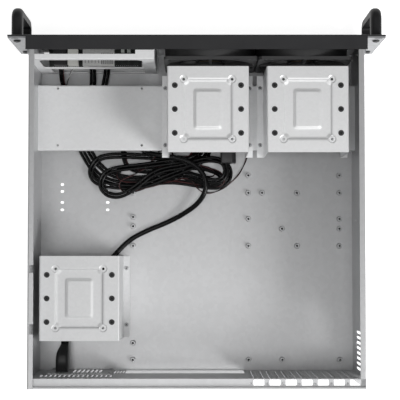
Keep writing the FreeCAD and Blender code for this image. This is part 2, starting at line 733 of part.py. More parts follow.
def drive_bracket(label, x, y, z):
    """An inverted-U drive bracket with turned-out feet and an embossed top."""
    body = new_body(label)
    half = "bracket_width/2"
    foot = "(bracket_width/2+foot_reach)"
    gauge = "bracket_gauge"
    top = "bracket_height"
    under = "(bracket_height-bracket_gauge)"
    pad(body, "XZ", "-bracket_length/2", "bracket_length/2", polygon(
        (f"-{foot}", "0"), (f"-{half}+{gauge}", "0"), (f"-{half}+{gauge}", under),
        (f"{half}-{gauge}", under), (f"{half}-{gauge}", "0"), (foot, "0"), (foot, gauge),
        (half, gauge), (half, top), (f"-{half}", top), (f"-{half}", gauge), (f"-{foot}", gauge)))
    round_folds(body, "Y", [(half, top), (f"-{half}", top)], "bend_radius")
    round_folds(body, "Y", [(f"{half}-{gauge}", under), (f"-{half}+{gauge}", under)], "inner_bend")
    shrink = "2*emboss_slope"
    outer = rounded("0", "0", f"drive_spacing_x-{shrink}", f"drive_spacing_y-{shrink}", "emboss_corner")
    inner = rounded("0", "0", f"inner_emboss_x+{shrink}", f"inner_emboss_y+{shrink}", "emboss_corner")
    drive_holes = four("0", "0", "drive_spacing_x", "drive_spacing_y")
    bosses = [circle(hx, hy, "emboss_boss-emboss_slope") for hx, hy in drive_holes]
    for make, high in ((pad, under), (pocket, top)):
        for shapes in ((outer, inner), bosses):
            step = make(body, "XY", f"{high}-emboss_depth", high, *shapes)
            step.setExpression("TaperAngle", "atan(Sizes.emboss_slope/Sizes.emboss_depth)")
    holes = [circle(hx, hy, "1.7") for hx, hy in drive_holes]
    holes += [circle(f"{sign}grommet_spacing_x/2", f"{row}*grommet_pitch_y", "grommet_hole")
              for sign in ("-", "") for row in (-1, 0, 1)]
    pocket(body, "XY", f"{under}-emboss_depth-1", f"{top}+1", *holes)
    feet = four("0", "0", "foot_spacing_x", "foot_spacing_y")
    pocket(body, "XY", "0", gauge, *[circle(hx, hy, "screw_hole") for hx, hy in feet])
    pocket(body, "YZ", f"-{half}-1", f"{half}+1",
           *[slot(row, "26", "14", "4") for row in ("-30", "0", "30")])
    return move(body, x, y, z)


def inlet_plate():
    body = new_body("inlet_plate")
    front = f"({WALL}-sheet_gauge)"
    pad(body, "XZ", front, WALL, rectangle(
        "inlet_plate_x-inlet_plate_width/2", "inlet_plate_x+inlet_plate_width/2",
        "sheet_gauge+0.2", "inlet_plate_top"))
    pocket(body, "XZ", front, WALL,
           centred("inlet_x", "inlet_z", "inlet_width+0.4", "inlet_height+0.4"),
           *[circle(x, z, "screw_hole") for x, z in PLATE_SCREWS + INLET_SCREWS])
    vent = pocket(body, "XZ", front, WALL, slot("128.3", "29", "42", "3.2", True))
    repeat(body, [vent], "X", "6*5.78", 7)
    return body


# ---- handles' and sheets' fasteners ----

def fasteners():
    ear_places = {side: [(f"{side}*(body_width/2+ear_gauge)", EAR_SCREW_Y, z) for z in EAR_SCREW_Z]
                  for side in ("-1", "1")}
    pieces = []
    for side, axis in (("-1", "X"), ("1", "-X")):
        for x, y, z in ear_places[side]:
            pieces.append(cone(x, y, z, "screw_head", "screw_head*0.75", "1.4", OPPOSITE[axis]))
            pieces.append(cylinder(x, y, z, "screw_shank", "ear_gauge+sheet_gauge+2", axis))
    fuse("ear_screws", pieces)
    back = from_front("panel_gauge+ear_gauge")
    screws("handle_screws", [(x, back, z) for x, z in
                             four("0", MIDDLE_Z, "2*handle_x", "handle_screw_spacing")],
           "-Y", "panel_gauge+ear_gauge+9", head="4.8", height="2.6", shank="screw_shank+0.7")
    fan_places = [(x, TRAY_FRONT, z) for fan in ("fan_a_x", "fan_b_x")
                  for x, z in four(fan, "fan_z", "fan_screw_spacing", "fan_screw_spacing")]
    screws("fan_screws", fan_places, "Y", "sheet_gauge+fan_flange+4", head="3.6", height="1.9",
           shank="2.0")
    wall = {"-1": "X", "1": "-X"}
    pieces = []
    for side, axis in wall.items():
        for y in SHELF_SCREW_Y:
            x = f"{side}*body_width/2"
            pieces.append(cone(x, y, SHELF_SCREW_Z, "screw_head", "screw_head*0.75", "1.4", OPPOSITE[axis]))
            pieces.append(cylinder(x, y, SHELF_SCREW_Z, "screw_shank", "sheet_gauge*2+2", axis))
    fuse("shelf_screws", pieces)
    screws("inlet_plate_screws", [(x, f"{WALL}-sheet_gauge", z) for x, z in PLATE_SCREWS],
           "Y", "2*sheet_gauge+2")
    screws("ac_inlet_screws", [(x, f"{WALL}+2", z) for x, z in INLET_SCREWS], "-Y", "2+sheet_gauge+2")


def bracket_screws(label, x, y, z, length):
    places = [(hx, hy, f"{z}+bracket_gauge") for hx, hy in four(x, y, "foot_spacing_x", "foot_spacing_y")]
    return screws(label, places, "-Z", length)


def grommets(label, x, y, z):
    """Six rubber grommets, each with a flange above and below the bracket's top sheet."""
    rings = []
    top = f"({z}+bracket_height)"
    for side in ("-", "+"):
        for row in (-1, 0, 1):
            gx = f"({x}{side}grommet_spacing_x/2)"
            gy = f"({y}+{row}*grommet_pitch_y)"
            solid = doc.addObject("Part::MultiFuse", "grommet")
            solid.Shapes = [
                cone(gx, gy, top, "grommet_radius", "grommet_radius-0.5", "1.0"),
                cylinder(gx, gy, f"{top}-bracket_gauge", "grommet_hole-0.05", "bracket_gauge"),
                cylinder(gx, gy, f"{top}-bracket_gauge-0.9", "grommet_radius", "0.9")]
            ring = doc.addObject("Part::Cut", "grommet_ring")
            ring.Base = solid
            ring.Tool = cylinder(gx, gy, f"{top}-5", "1.3", "10")
            rings.append(ring)
    return fuse(label, rings)


# ---- fans ----

def fan_frame(label, x):
    """The moulded fan housing: two square flanges, a round barrel, four struts and a hub plate."""
    body = new_body(label)
    rear = "fan_depth"
    half = "fan_size/2"
    cut_corner = "4"

    def square():
        return polygon(
            (f"-{half}+{cut_corner}", f"-{half}"), (f"{half}-{cut_corner}", f"-{half}"),
            (half, f"-{half}+{cut_corner}"), (half, f"{half}-{cut_corner}"),
            (f"{half}-{cut_corner}", half), (f"-{half}+{cut_corner}", half),
            (f"-{half}", f"{half}-{cut_corner}"), (f"-{half}", f"-{half}+{cut_corner}"))

    bore = circle("0", "0", "fan_bore")
    pad(body, "XZ", "0", rear, circle("0", "0", "fan_barrel"), bore)
    pad(body, "XZ", "0", "fan_flange", square(), bore)
    pad(body, "XZ", f"{rear}-fan_flange", rear, square(), bore)
    strut = "4"
    depth = f"{rear}-hub_plate"
    pad(body, "XZ", depth, rear,
        rectangle(f"-{strut}/2", f"{strut}/2", "hub_radius-1", "fan_bore+0.5"))
    repeat_round(body, [body.Tip], "Y", 4)
    pad(body, "XZ", depth, rear, circle("0", "0", "hub_radius"))
    pad(body, "XZ", "rotor_front_gap+rotor_wall+2", depth, circle("0", "0", "bearing_radius"))
    pocket(body, "XZ", "0", f"{rear}-1", circle("0", "0", "shaft_radius+shaft_gap"))
    screw_holes = four("0", "0", "fan_screw_spacing", "fan_screw_spacing")
    pocket(body, "XZ", "-1", f"{rear}+1", *[circle(hx, hz, "2.1") for hx, hz in screw_holes])
    return move(body, x, f"{TRAY_FRONT}+sheet_gauge", "fan_z")


def fan_stator(label, x):
    """The motor's wound core, on the bearing tube inside the rotor's cup."""
    body = new_body(label)
    low = "fan_depth-hub_plate-10"
    high = "fan_depth-hub_plate"
    pad(body, "XZ", low, high, circle("0", "0", "14.5"), circle("0", "0", "bearing_radius+0.1"))
    groove = pocket(body, "XZ", f"{low}-1", f"{high}-1.5", rectangle("-1.5", "1.5", "9", "16"))
    repeat_round(body, [groove], "Y", 4)
    return move(body, x, f"{TRAY_FRONT}+sheet_gauge", "fan_z")


def fan_rotor(label, x):
    """The impeller: a cup, seven twisted blades and the shaft that runs in the bearing."""
    body = new_body(label)
    front = "rotor_front_gap"
    back = "(fan_depth-hub_plate-rotor_rear_gap)"
    pad(body, "XZ", front, back, circle("0", "0", "rotor_radius"), circle("0", "0", "rotor_radius-rotor_wall"))
    pad(body, "XZ", front, f"{front}+rotor_wall", circle("0", "0", "rotor_radius-rotor_wall+0.1"))
    blade(body)
    repeat_round(body, [body.Tip], "Y", 7)
    pad(body, "XZ", f"{front}+0.5", "fan_depth-2", circle("0", "0", "shaft_radius"))
    return move(body, x, f"{TRAY_FRONT}+sheet_gauge", "fan_z")


def blade(body):
    sections = []
    for level, depth, sweep in (("rotor_radius-1", "15", "11"), ("blade_tip", "13", "22")):
        middle = "(rotor_front_gap+9.3)"
        sketch = new_sketch(body, "YZ", level)
        polygon((f"{middle}-{depth}/2", f"-{sweep}/2"),
                (f"{middle}-{depth}/2", f"-{sweep}/2+blade_gauge"),
                (f"{middle}+{depth}/2", f"{sweep}/2+blade_gauge/2"),
                (f"{middle}+{depth}/2", f"{sweep}/2-blade_gauge/2"))(sketch)
        sections.append(sketch)
    loft = body.newObject("PartDesign::AdditiveLoft", body.Name + "_blade")
    loft.Profile = sections[0]
    loft.Sections = [sections[1]]
    loft.Ruled = True
    return loft


# ---- front controls ----

def switch_block(label, x, width, bore):
    body = new_body(label)
    bottom = "board_z+board_gauge"
    front = from_front("board_front+2.5")
    pad(body, "XY", bottom, f"{bottom}+block_height",
        rectangle(f"{x}-{width}/2", f"{x}+{width}/2", front, from_front("board_rear-0.6")))
    pocket(body, "XZ", front, f"{front}+12", circle(x, "control_z", f"{bore}+button_gap"))
    return body


def push_button(label, x, cap, stem):
    """A cap that stands out of the panel, a collar behind it and a stem into the switch."""
    cap_front = from_front("-1.8")
    collar = from_front("panel_gauge+0.3")
    parts = [
        cone(x, f"{cap_front}+0.6", "control_z", cap, f"{cap}-0.5", "0.6", "-Y"),
        cylinder(x, f"{cap_front}+0.6", "control_z", cap, f"{collar}-({cap_front})", "Y"),
        cylinder(x, collar, "control_z", f"{cap}+0.9", "1.2", "Y"),
        cylinder(x, collar, "control_z", stem, "14", "Y"),
    ]
    return fuse(label, parts)


def usb_shell():
    """The metal can of the twin port: a box on the board with two mouths through the panel."""
    body = new_body("usb_shell")
    bottom = "board_z+board_gauge"
    front = from_front("board_front")
    pad(body, "XY", bottom, f"{bottom}+block_height",
        rectangle("usb_x-usb_width/2", "usb_x+usb_width/2", front, from_front("board_rear+0.8")))
    mouths = [f"usb_x{sign}usb_port_spacing/2" for sign in "-+"]
    pad(body, "XZ", from_front("-0.4"), front, *[centred(x, "control_z", "13.3", "6.0") for x in mouths])
    pocket(body, "XZ", from_front("-0.4"), from_front("12"), *[centred(x, "control_z", "12.3", "5.0")
                                                             for x in mouths])
    vent = pocket(body, "XY", f"{bottom}+block_height-0.8", f"{bottom}+block_height",
                  rectangle("usb_x-usb_width/2+2.4", "usb_x-usb_width/2+3.5",
                            from_front("board_front+8"), from_front("board_rear-2")))
    repeat(body, [vent], "X", "5*2.6", 6)
    return body


def usb_tongues():
    bars = []
    for sign in "-+":
        bar = doc.addObject("Part::Box", "tongue")
        bar.Length = 10.6
        bar.Width = 10.5
        bar.Height = 1.6
        move(bar, f"usb_x{sign}usb_port_spacing/2-5.3", from_front("1.5"), "control_z+0.4")
        bars.append(bar)
    return fuse("usb_tongues", bars)


def indicator_lights():
    pieces = []
    for sign in "-+":
        x = f"(light_x{sign}light_spacing/2)"
        pieces.append(cylinder(x, from_front("-0.6"), "control_z", "light_radius", "10", "Y"))
        base = doc.addObject("Part::Box", "light_base")
        base.Length = 4.4
        base.Width = 4.4
        base.setExpression("Height", bind("control_z+light_radius+0.8-board_z-board_gauge"))
        move(base, f"{x}-2.2", from_front("board_front+1"), "board_z+board_gauge")
        pieces.append(base)
    return fuse("indicator_lights", pieces)


def box(x, y, z, length, width, height):
    """A block with its middle at x and y and its bottom at z."""
    obj = doc.addObject("Part::Box", "block")
    obj.setExpression("Length", bind(length))
    obj.setExpression("Width", bind(width))
    obj.setExpression("Height", bind(height))
    return move(obj, f"{x}-({length})/2", f"{y}-({width})/2", z)


LEAD_SOCKETS = {"usb_lead_a": "142", "usb_lead_b": "120", "panel_lead": "184"}


def lead_sockets():
    """The header blocks under the board that the three front leads plug into."""
    return fuse("lead_sockets", [box(x, from_front("17"), "board_z-10", "9", "7", "10")
                                 for x in LEAD_SOCKETS.values()])


# ---- mains inlet ----

def ac_inlet():
    """A panel-mounted mains inlet with its lead moulded on: flange, tapered body, open rear."""
    body = new_body("ac_inlet")
    back = f"({WALL}+2)"
    body_front = f"({WALL}-inlet_length)"
    pad(body, "XZ", WALL, back, centred("inlet_x", "inlet_z", "inlet_flange_width", "inlet_flange_height"))
    pad(body, "XZ", body_front, WALL, centred("inlet_x", "inlet_z", "inlet_width", "inlet_height"))
    sections = []
    for level, across, width, height in (
            (body_front, "inlet_x", "inlet_width", "inlet_height"),
            (f"{body_front}-inlet_taper", "inlet_x-inlet_lean", "10", "12")):
        sketch = new_sketch(body, "XZ", level)
        centred(across, "inlet_z", width, height)(sketch)
        sections.append(sketch)
    loft = body.newObject("PartDesign::AdditiveLoft", "ac_inlet_taper")
    loft.Profile = sections[0]
    loft.Sections = [sections[1]]
    loft.Ruled = True
    pocket(body, "XZ", f"{back}-15", back, centred("inlet_x", "inlet_z", "inlet_width-3.6", "inlet_height-3.4"))
    pocket(body, "XZ", WALL, back, *[circle(x, z, "screw_hole") for x, z in INLET_SCREWS])
    return body


def ac_inlet_pins():
    back = f"{WALL}+2"
    blades = [("inlet_x-3", "inlet_z"), ("inlet_x+3", "inlet_z-7"), ("inlet_x+3", "inlet_z+7")]
    return fuse("ac_inlet_pins", [box(x, f"{back}-8.5", f"{z}-2", "2", "13", "4") for x, z in blades])


CONNECTOR_X = -43.0
CONNECTOR_BACK = 122.0
CONNECTOR_LENGTH = 34.0


def ac_connector():
    """The free end of the mains lead: a moulded three-way socket that stands on its narrow side."""
    body = new_body("ac_connector")
    back = from_front(CONNECTOR_BACK + 12)
    front = from_front(CONNECTOR_BACK + CONNECTOR_LENGTH)
    centre_z = "(sheet_gauge+0.3+13.5)"

    def section(width, height, corner, far_corner):
        """The outline from above its lower right corner, with larger corners on the left side."""
        right = f"{CONNECTOR_X}+{width}/2"
        left = f"{CONNECTOR_X}-{width}/2"
        low = f"{centre_z}-{height}/2"
        high = f"{centre_z}+{height}/2"
        return polygon(
            (right, f"{low}+{corner}"), (right, f"{high}-{corner}"), (f"{right}-{corner}", high),
            (f"{left}+{far_corner}", high), (left, f"{high}-{far_corner}"),
            (left, f"{low}+{far_corner}"), (f"{left}+{far_corner}", low), (f"{right}-{corner}", low))

    pad(body, "XZ", back, front, section(20.4, 27, 1.5, 5))
    sections = []
    for level, sizes in ((back, (20.4, 27, 1.5, 5)), (from_front(CONNECTOR_BACK), (9, 9, 2.5, 2.5))):
        sketch = new_sketch(body, "XZ", level)
        section(*sizes)(sketch)
        sections.append(sketch)
    loft = body.newObject("PartDesign::AdditiveLoft", "ac_connector_taper")
    loft.Profile = sections[0]
    loft.Sections = [sections[1]]
    loft.Ruled = True
    contacts = [(CONNECTOR_X + 3, f"{centre_z}-7"), (CONNECTOR_X + 3, f"{centre_z}+7"),
                (CONNECTOR_X - 3, centre_z)]
    pocket(body, "XZ", f"{front}-14", front, *[centred(x, z, "5", "2.4") for x, z in contacts])
    return body


# ---- leads ----

def smooth_path(points):
    """Straight runs joined by tangent arcs, each arc as large as its two runs allow."""
    spots = [FreeCAD.Vector(*point) for point in points]
    edges = []
    radii = []
    start = spots[0]
    for before, corner, after in zip(spots, spots[1:], spots[2:]):
        toward = (before - corner).normalize()
        away = (after - corner).normalize()
        half_turn = (math.pi - toward.getAngle(away)) / 2
        trim = 0.45 * min((before - corner).Length, (after - corner).Length)
        radius = trim / math.tan(half_turn)
        radii.append(radius)
        entry = corner + toward * trim
        leave = corner + away * trim
        middle = (toward + away).normalize()
        top = corner + middle * (radius / math.cos(half_turn) - radius)
        edges.append(Part.LineSegment(start, entry).toShape())
        edges.append(Part.Arc(entry, top, leave).toShape())
        start = leave
    edges.append(Part.LineSegment(start, spots[-1]).toShape())
    return Part.Wire(edges), radii


def tube(label, points, radius):
    """A lead: a round section swept along its path."""
    path, radii = smooth_path(points)
    start = FreeCAD.Vector(*points[0])
    direction = FreeCAD.Vector(*points[1]) - start
    size = number(radius)
    section = Part.Wire([Part.Circle(start, direction, size).toShape()])
    shape = path.makePipeShell([section], True, False)
    expected = math.pi * size**2 * path.Length
    print(f"{label}: length {path.Length:.1f}, volume over section times length "
          f"{shape.Volume / expected:.4f}, radii {min(radii):.1f} to {max(radii):.1f}, "
          f"smallest in diameters {min(radii) / (2 * size):.1f}")
    obj = doc.addObject("Part::Feature", label)
    obj.Shape = shape
    return node(obj, label)


def placed(route):
    """A route given as left-right, depth behind the front face, and height."""
    middle = number("body_depth/2")
    return [(-across, depth - middle, height) for across, depth, height in route]


AC_ROUTE = [
    (-176.5, 399.1, 30.0), (-176.5, 380.5, 30.0), (-172.0, 361.0, 23.5), (-160.5, 341.5, 13.5),
    (-145.5, 321.0, 6.5), (-128.0, 299.5, 4.9), (-110.5, 279.0, 4.9), (-91.5, 259.5, 4.9),
    (-66.0, 246.5, 4.9), (-40.0, 236.5, 5.5), (-17.0, 224.5, 10.0), (3.0, 209.5, 17.0),
    (12.0, 189.5, 23.0), (9.3, 167.0, 25.0), (-5.0, 149.3, 25.0), (-26.5, 142.0, 25.0),
    (-49.0, 140.8, 25.0), (-71.0, 137.5, 21.5), (-88.5, 124.5, 14.0), (-97.5, 104.5, 9.0),
    (-95.6, 82.6, 7.5), (-83.0, 64.6, 9.5), (-63.0, 56.0, 14.0), (-40.0, 56.0, 14.0),
    (-18.0, 57.0, 9.0), (3.5, 60.0, 5.5), (24.0, 69.0, 6.0), (38.5, 86.5, 10.5),
    (43.0, 105.5, 15.0), (43.0, 122.0, 15.0),
]
USB_A_ROUTE = [
    (-142.0, 17.0, 44.0), (-142.0, 17.5, 30.0), (-142.0, 25.0, 17.5), (-142.0, 39.5, 10.0),
    (-143.0, 56.0, 6.0), (-146.0, 74.0, 3.9), (-151.5, 92.0, 3.8), (-157.0, 109.0, 3.8),
    (-160.0, 124.0, 3.8), (-158.0, 136.5, 4.2), (-150.9, 149.1, 6.0), (-142.6, 162.7, 6.0),
]
USB_B_ROUTE = [
    (-120.0, 17.0, 44.0), (-120.5, 17.5, 30.0), (-122.0, 25.0, 17.5), (-124.5, 39.5, 10.0),
    (-128.0, 56.0, 6.0), (-133.0, 73.5, 3.9), (-140.0, 90.0, 3.8), (-147.0, 105.0, 3.8),
    (-151.5, 118.0, 3.8), (-149.5, 131.0, 4.2), (-142.8, 144.1, 6.0), (-134.5, 157.7, 6.0),
]
PANEL_ROUTE = [
    (-184.0, 17.0, 44.0), (-184.0, 18.0, 34.0), (-184.0, 24.0, 24.5), (-184.0, 34.5, 17.5),
    (-183.0, 48.0, 11.5), (-179.0, 62.0, 8.0), (-170.0, 76.5, 8.5), (-156.5, 90.5, 11.0),
    (-137.0, 104.0, 11.0), (-119.0, 114.5, 5.5), (-106.0, 125.0, 3.2), (-99.5, 137.0, 3.6),
    (-99.0, 149.0, 5.5),
]
FAN_A_ROUTE = [
    (-36.0, 31.0, 9.0), (-37.0, 37.5, 8.0), (-41.0, 46.5, 4.5), (-46.0, 57.0, 2.6),
    (-49.5, 70.0, 2.6), (-50.5, 86.0, 2.6), (-48.0, 103.0, 2.6), (-42.0, 117.0, 2.6),
    (-36.0, 127.5, 3.2), (-34.0, 137.0, 4.8),
]
FAN_B_ROUTE = [
    (92.0, 31.0, 9.0), (92.0, 37.5, 8.2), (90.0, 48.0, 4.5), (86.5, 62.0, 2.6), (82.5, 80.0, 2.6),
    (79.0, 100.0, 2.6), (75.0, 121.0, 2.6), (70.0, 142.0, 2.6), (62.0, 161.0, 2.6),
    (50.0, 177.5, 2.6), (34.5, 190.5, 2.6), (18.0, 198.0, 2.6), (5.5, 194.5, 3.0),
    (-3.0, 186.0, 4.0),
]


def leads():
    tube("ac_lead", placed(AC_ROUTE), "ac_lead_radius")
    tube("usb_lead_a", placed(USB_A_ROUTE), "usb_lead_radius")
    tube("usb_lead_b", placed(USB_B_ROUTE), "usb_lead_radius")
    tube("panel_lead", placed(PANEL_ROUTE), "panel_lead_radius")
    tube("fan_lead_a", placed(FAN_A_ROUTE), "fan_lead_radius")
    tube("fan_lead_b", placed(FAN_B_ROUTE), "fan_lead_radius")


HANK_OUTLINE = [
    (148, 166), (130, 155), (112, 149), (88, 149), (84, 137), (-22, 137), (-27, 148), (-30, 157.5),
    (-42, 160.5), (-44.5, 170), (-43, 178), (-36, 184), (-2, 181), (8, 191), (20, 189), (50, 186.5),
    (79, 188.5), (94.5, 188.5), (104, 202), (119, 200), (129, 190), (144, 182),
]


def cable_hank():
    """The spare length of the thin leads, folded into one flat hank on the floor."""
    body = new_body("cable_hank")
    low = "sheet_gauge+0.3"
    pad(body, "XY", low, f"{low}+hank_height", polygon(*[(x, from_front(y)) for x, y in HANK_OUTLINE]))
    return body


PLUG_LENGTH = 12.0
PLUG_PLACES = {"usb_plug_a": -16.0, "usb_plug_b": -6.5, "panel_plug": 3.0, "fan_plug_a": 43.0,
               "fan_plug_b": 51.5}


def header_plug(label, x):
    """A small housing on the end of a lead, with two rows of contacts in its face."""
    body = new_body(label)
    mouth = from_front(f"hank_front_y-{PLUG_LENGTH}")
    pad(body, "XZ", mouth, from_front("hank_front_y"), centred(x, "sheet_gauge+0.3+3", "7.6", "6"))
    hole = pocket(body, "XZ", mouth, f"{mouth}+6", centred(x - 2.4, "sheet_gauge+0.3+3", "1", "3.4"))
    repeat(body, [hole], "X", "4.8", 3)
    return body


# ---- build every piece ----

def build():
    base_tray()
    rear_panel()
    front_frame()
    front_panel()
    for label, side in (("left", "-1"), ("right", "1")):
        ear("ear_" + label, side)
        handle("handle_" + label, side)
    fasteners()
    for letter in "ab":
        fan_frame(f"fan_{letter}_frame", f"fan_{letter}_x")
        fan_stator(f"fan_{letter}_stator", f"fan_{letter}_x")
        fan_rotor(f"fan_{letter}_rotor", f"fan_{letter}_x")
    io_bracket()
    io_board()
    usb_shell()
    usb_tongues()
    switch_block("power_switch", "power_x", "power_width", "3")
    switch_block("reset_switch", "reset_x", "reset_width", "1.6")
    push_button("power_button", "power_x", "power_cap", "3")
    push_button("reset_button", "reset_x", "reset_cap", "1.6")
    indicator_lights()
    lead_sockets()
    drive_shelf()
    places = (
        ("bracket_1_x", from_front("bracket_row_y"), "shelf_top", "bracket_gauge+sheet_gauge+3"),
        ("bracket_2_x", from_front("bracket_row_y"), "shelf_top", "bracket_gauge+sheet_gauge+3"),
        ("bracket_3_x", from_front("bracket_3_y"), "sheet_gauge", "bracket_gauge+sheet_gauge-0.1"),
    )
    for index, (x, y, z, length) in enumerate(places, start=1):
        drive_bracket(f"drive_bracket_{index}", x, y, z)
        grommets(f"grommets_{index}", x, y, z)
        bracket_screws(f"bracket_screws_{index}", x, y, z, length)
    inlet_plate()
    ac_inlet()
    ac_inlet_pins()
    ac_connector()
    leads()
    cable_hank()
    for label, x in PLUG_PLACES.items():
        header_plug(label, x)
    doc.recompute()


def check_and_export():
    failed = [obj.Name for obj in doc.Objects if "Invalid" in obj.State or "Error" in obj.State]
    failed += [obj.Label for obj in NODES if obj.Shape.isNull() or not obj.Shape.isValid()]
    if failed:
        raise RuntimeError("not built: " + ", ".join(failed))
    os.makedirs("parts", exist_ok=True)
    for obj in NODES:
        obj.Shape.exportStep(f"parts/{obj.Label}.step")
        box_ = obj.Shape.BoundBox
        print(f"{obj.Label}: {len(obj.Shape.Solids)} solids, {obj.Shape.Volume:.0f} mm3, "
              f"x {box_.XMin:.1f}..{box_.XMax:.1f} y {box_.YMin:.1f}..{box_.YMax:.1f} "
              f"z {box_.ZMin:.1f}..{box_.ZMax:.1f}")


build()
check_and_export()
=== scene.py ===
# %% [markdown]
# # An empty rackmount server case
# The case is a folded tray of galvanised steel with a black front panel, two fans, a raised
# drive shelf and three drive brackets. Its cover is off, so a camera above it sees everything
# inside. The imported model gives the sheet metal. This file adds the finishes, the leads, the
# small fasteners and the light, one step to a cell. Up to the leads, sizes are in metres. The
# screws, mouldings and small parts at the end are in millimetres. The front of the case faces
# -Y, and Z points up.

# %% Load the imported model
import math
import random

import bmesh
import bpy
from mathutils import Matrix, Vector


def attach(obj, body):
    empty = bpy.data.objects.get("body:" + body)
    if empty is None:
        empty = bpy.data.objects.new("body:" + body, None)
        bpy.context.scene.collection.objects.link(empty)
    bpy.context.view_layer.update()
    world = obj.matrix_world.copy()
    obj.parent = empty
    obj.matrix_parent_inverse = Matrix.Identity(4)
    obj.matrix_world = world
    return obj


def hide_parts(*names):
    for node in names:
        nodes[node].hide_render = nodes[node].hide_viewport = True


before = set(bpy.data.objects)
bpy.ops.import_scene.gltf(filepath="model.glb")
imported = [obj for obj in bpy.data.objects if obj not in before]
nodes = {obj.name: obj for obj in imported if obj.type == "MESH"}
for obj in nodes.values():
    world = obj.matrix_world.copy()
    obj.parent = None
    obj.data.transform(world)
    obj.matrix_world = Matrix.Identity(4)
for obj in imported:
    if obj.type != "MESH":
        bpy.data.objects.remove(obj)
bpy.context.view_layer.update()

CASE = "case"

# %% [markdown]
# ## Camera
# The camera hangs about 1.7 m above the case and looks almost straight down, with the front
# panel at the top of the view. A long lens keeps the walls nearly upright. Its axes are
# written out as a matrix, because a top view has no horizon to aim by.

# %% Camera
CAMERA_PLACE = (0.0007, 0.0593, 1.735)
CAMERA_TILT = math.radians(2.487)

camera_data = bpy.data.cameras.new("overhead_camera")
camera_data.sensor_width = 36
camera_data.lens = 114
camera_data.shift_x = 0.0099
camera_data.shift_y = 0.0068
camera_data.clip_start = 0.05
camera_data.clip_end = 50
camera = bpy.data.objects.new("overhead_camera", camera_data)
right = Vector((-1, 0, 0))
back = Vector((0, math.sin(CAMERA_TILT), math.cos(CAMERA_TILT)))
up = back.cross(right)
turn = Matrix((right, up, back)).transposed().to_4x4()
camera.matrix_world = Matrix.Translation(CAMERA_PLACE) @ turn
bpy.context.scene.collection.objects.link(camera)
bpy.context.scene.camera = camera
print("camera at", tuple(round(v, 3) for v in camera.location), "lens", camera_data.lens)

# %% [markdown]
# ## How a finish starts
# Every finish starts from Blender's Principled shader. Numbers that are the same all over go
# straight onto its sockets.

# %% Start a finish
def set_inputs(finish, node, inputs):
    """Each input is a plain value, or the output of another node to link to."""
    for label, value in inputs.items():
        if isinstance(value, bpy.types.NodeSocket):
            finish.node_tree.links.new(value, node.inputs[label])
        else:
            node.inputs[label].default_value = value
    return node


def shade(finish, **sockets):
    """Set sockets of the shader; in their names _ stands for a space."""
    named = {label.replace("_", " "): value for label, value in sockets.items()}
    set_inputs(finish, finish.node_tree.nodes["Principled BSDF"], named)


def new_finish(name, metal=0.0, rough=0.5, **sockets):
    finish = bpy.data.materials.new(name)
    finish.use_nodes = True
    shade(finish, Metallic=metal, Roughness=rough, **sockets)
    return finish


# %% [markdown]
# ## Floor
# The case stands on a wide sheet of white paper. The paper glows a little, so that it stays
# white however weak the lamps are. The tray's posts are tapped right through its floor, and a
# dark card between the tray and the paper paints the shade inside these small holes, so that
# they look deep.

# %% Floor
def lay_sheet(name, left, right, near, far, height, finish):
    """A flat rectangle that belongs to the studio and not to the case."""
    mesh = bpy.data.meshes.new(name)
    corners = [(left, near, 0), (right, near, 0), (right, far, 0), (left, far, 0)]
    mesh.from_pydata(corners, [], [(0, 1, 2, 3)])
    mesh.materials.append(finish)
    sheet = bpy.data.objects.new(name, mesh)
    bpy.context.scene.collection.objects.link(sheet)
    sheet.location.z = height


FLOOR_REACH = 3.0
WHITE = (1, 1, 1, 1)
white_paper = new_finish("white_paper", rough=0.9, Base_Color=(0.9, 0.9, 0.9, 1),
                         Emission_Color=WHITE, Emission_Strength=0.8)
# The dark card paints the shade that would fill the posts' tapped holes.
painted_shade_card = new_finish("painted_shade_card", Base_Color=(0.02, 0.02, 0.02, 1))
lay_sheet("studio_floor", -FLOOR_REACH, FLOOR_REACH, -FLOOR_REACH, FLOOR_REACH, -0.001, white_paper)
lay_sheet("shade_card_under_posts", -0.205, 0.100, -0.180, 0.200, -0.0006, painted_shade_card)
print("floor and card laid")

# %% [markdown]
# ## Light
# Steel shows what it reflects, so the lamps are wide and soft. The strongest stands low behind
# the right corner and gives every fold and press mark a bright and a dark side. One above
# lights the tops, a weak one on the left keeps the walls from going black, and a bright room
# fills in the rest.

# %% Lamps and room
LAMPS = [  # name, place, width in metres, power in watts; all point at the middle of the case
    ("lamp_above", (0.12, 0.42, 2.4), 1.0, 7.5),
    ("lamp_low_right", (-1.42, 1.02, 1.48), 0.8, 31),
    ("lamp_left", (1.9, 0.3, 1.6), 1.2, 1.5),
]
ROOM_BRIGHTNESS = 0.23

for name, place, width, power in LAMPS:
    data = bpy.data.lights.new(name, "AREA")
    data.shape = "DISK"
    data.size = width
    data.energy = power
    lamp = bpy.data.objects.new(name, data)
    lamp.location = place
    lamp.rotation_euler = (-Vector(place)).to_track_quat("-Z", "Y").to_euler()
    bpy.context.scene.collection.objects.link(lamp)
room = bpy.data.worlds.new("bright_room")
room.use_nodes = True
room.node_tree.nodes["Background"].inputs["Color"].default_value = WHITE
room.node_tree.nodes["Background"].inputs["Strength"].default_value = ROOM_BRIGHTNESS
bpy.context.scene.world = room
bpy.context.scene.view_settings.view_transform = "Standard"

# %% [markdown]
# ## Patterns in a finish
# Only what changes over the surface comes from nodes: a noise or cell pattern, measured in
# metres, that tints the colour, moves the roughness a little and raises a fine relief.

# %% Patterns
def add_node(finish, kind, inputs):
    return set_inputs(finish, finish.node_tree.nodes.new("ShaderNode" + kind), inputs)


def place_in_metres(finish, stretch=(1, 1, 1)):
    """The piece's own place in metres, stretched where a pattern runs one way."""
    place = add_node(finish, "TexCoord", {}).outputs["Object"]
    return add_node(finish, "Mapping", {"Vector": place, "Scale": stretch}).outputs["Vector"]


